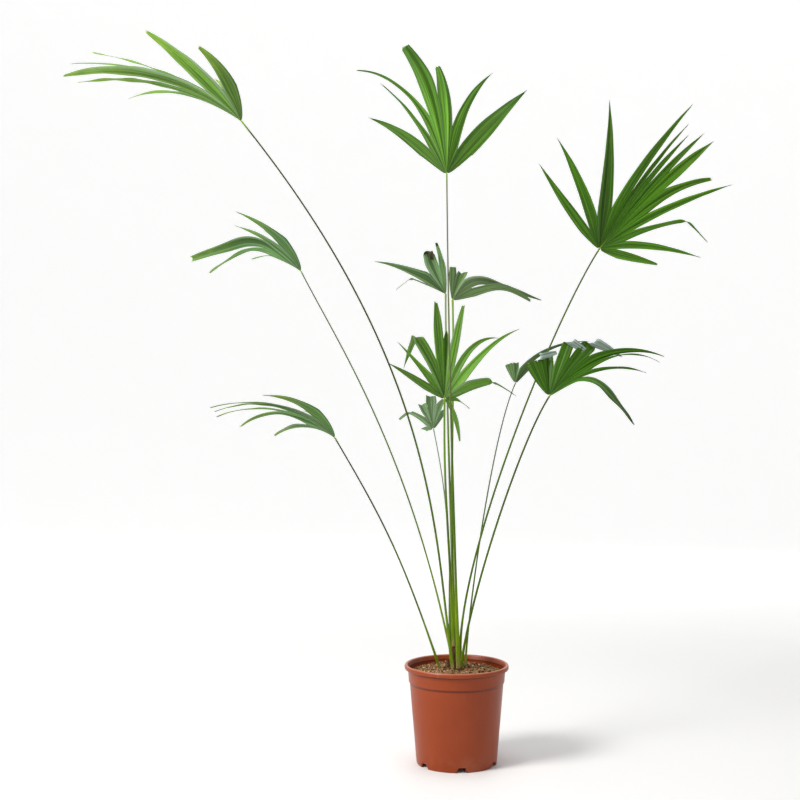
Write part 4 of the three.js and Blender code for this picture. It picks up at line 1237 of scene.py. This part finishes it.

# %% [markdown]
# ## Floor and light
# The plant stands in a very large, pale, shallow bowl: flat under the pot, then curving up far away on
# all sides, so that no horizon line shows from any direction. Its far wall glows with painted light,
# brighter behind the plant, and this glow lights the plant too. The light is that of a studio: one wide
# lamp high on the left, a weaker one behind, and a soft one above, under an even pale sky.


# %% The floor
BOWL_RADIUS = 6
BOWL_COLUMNS = 96
angle = np.linspace(0, np.pi / 2, 24)[1:]
curved = BOWL_RADIUS * (1 + np.sin(angle))
radii = np.concatenate([np.linspace(0, BOWL_RADIUS, 13), curved, [2 * BOWL_RADIUS, 0]])
heights = np.concatenate([np.zeros(13), BOWL_RADIUS * (1 - np.cos(angle)), [10, 0]])
bowl_points, bowl_quads, bowl_caps = turned(np.stack([radii, heights], axis=1) / MM, BOWL_COLUMNS)
floor = make_piece("floor", bowl_points, bowl_quads[:, ::-1], bowl_caps[:BOWL_COLUMNS, ::-1])
print("the floor rises to", heights.max(), "m")


def glowing_paper():
    """White paper that glows with painted light of its own, more and more from 1 m to 5 m away from the
    pot, and less on the viewer's side and far out on the right."""
    f = Finish("pale_floor", 0.95, 0.1)
    away = f.node("ShaderNodeVectorMath", {0: f.place()}, operation="LENGTH").outputs["Value"]
    side, depth, _ = f.node("ShaderNodeSeparateXYZ", {"Vector": f.place()}).outputs
    # Painted light: the paper's glow grows away from the pot and is weaker in front and far right.
    glow = f.times(f.ramp(away, 1.0, 5.0), f.ramp(depth, -6.0, 3.0, 0.22, 0.42))
    glow = f.times(glow, f.ramp(side, 4.0, 8.0, 1.0, 0.5))
    f.feed(f.shader.inputs["Emission Color"], (255, 255, 255))
    f.feed(f.shader.inputs["Emission Strength"], glow)
    f.paint = (242, 242, 242)
    return f.painted()


floor.data.materials.append(glowing_paper())


# %% The lamps
def lamp(name, place, aim, size, power, tint):
    """A square lamp at a place, turned so that its -Z axis points at `aim`."""
    data = bpy.data.lights.new(name, "AREA")
    data.shape = "SQUARE"
    data.size = size
    data.energy = power
    data.color = tint
    made = bpy.data.objects.new(name, data)
    made.location = place
    toward = Vector(aim) - Vector(place)
    made.rotation_euler = toward.to_track_quat("-Z", "Y").to_euler()
    bpy.context.scene.collection.objects.link(made)
    print(name, power, "W")


lamp("key_lamp", (-3.5, -2.3, 3.7), (0, 0, 1.0), 1.6, 245, (1.0, 0.98, 0.95))
lamp("back_lamp", (0.6, 3.6, 3.2), (0, 0, 1.2), 2.4, 30, (1.0, 1.0, 1.0))
lamp("top_lamp", (0, 0, 4.6), (0, 0, 1.0), 2.0, 45, (1.0, 1.0, 1.0))
world = bpy.data.worlds.new("pale_sky")
world.use_nodes = True
world.node_tree.nodes["Background"].inputs["Color"].default_value = (1, 1, 1, 1)
world.node_tree.nodes["Background"].inputs["Strength"].default_value = 0.2
bpy.context.scene.world = world
bpy.context.scene.view_settings.view_transform = "Standard"

# %% [markdown]
# ## The camera
# It stands level, 3.4 m in front of the pot and 0.94 m above the floor, a little to the left, with a
# 59 mm lens on a full-size sensor.

# %% The camera
view = bpy.data.cameras.new("camera")
view.sensor_width = 36.0
view.lens = 59.4
view.clip_end = 60.0
camera = bpy.data.objects.new("camera", view)
camera.location = (-0.147, -3.43, 0.941)
camera.rotation_euler = (np.pi / 2, 0, 0)
bpy.context.scene.collection.objects.link(camera)
bpy.context.scene.camera = camera

# %% Updating the scene
bpy.context.view_layer.update()
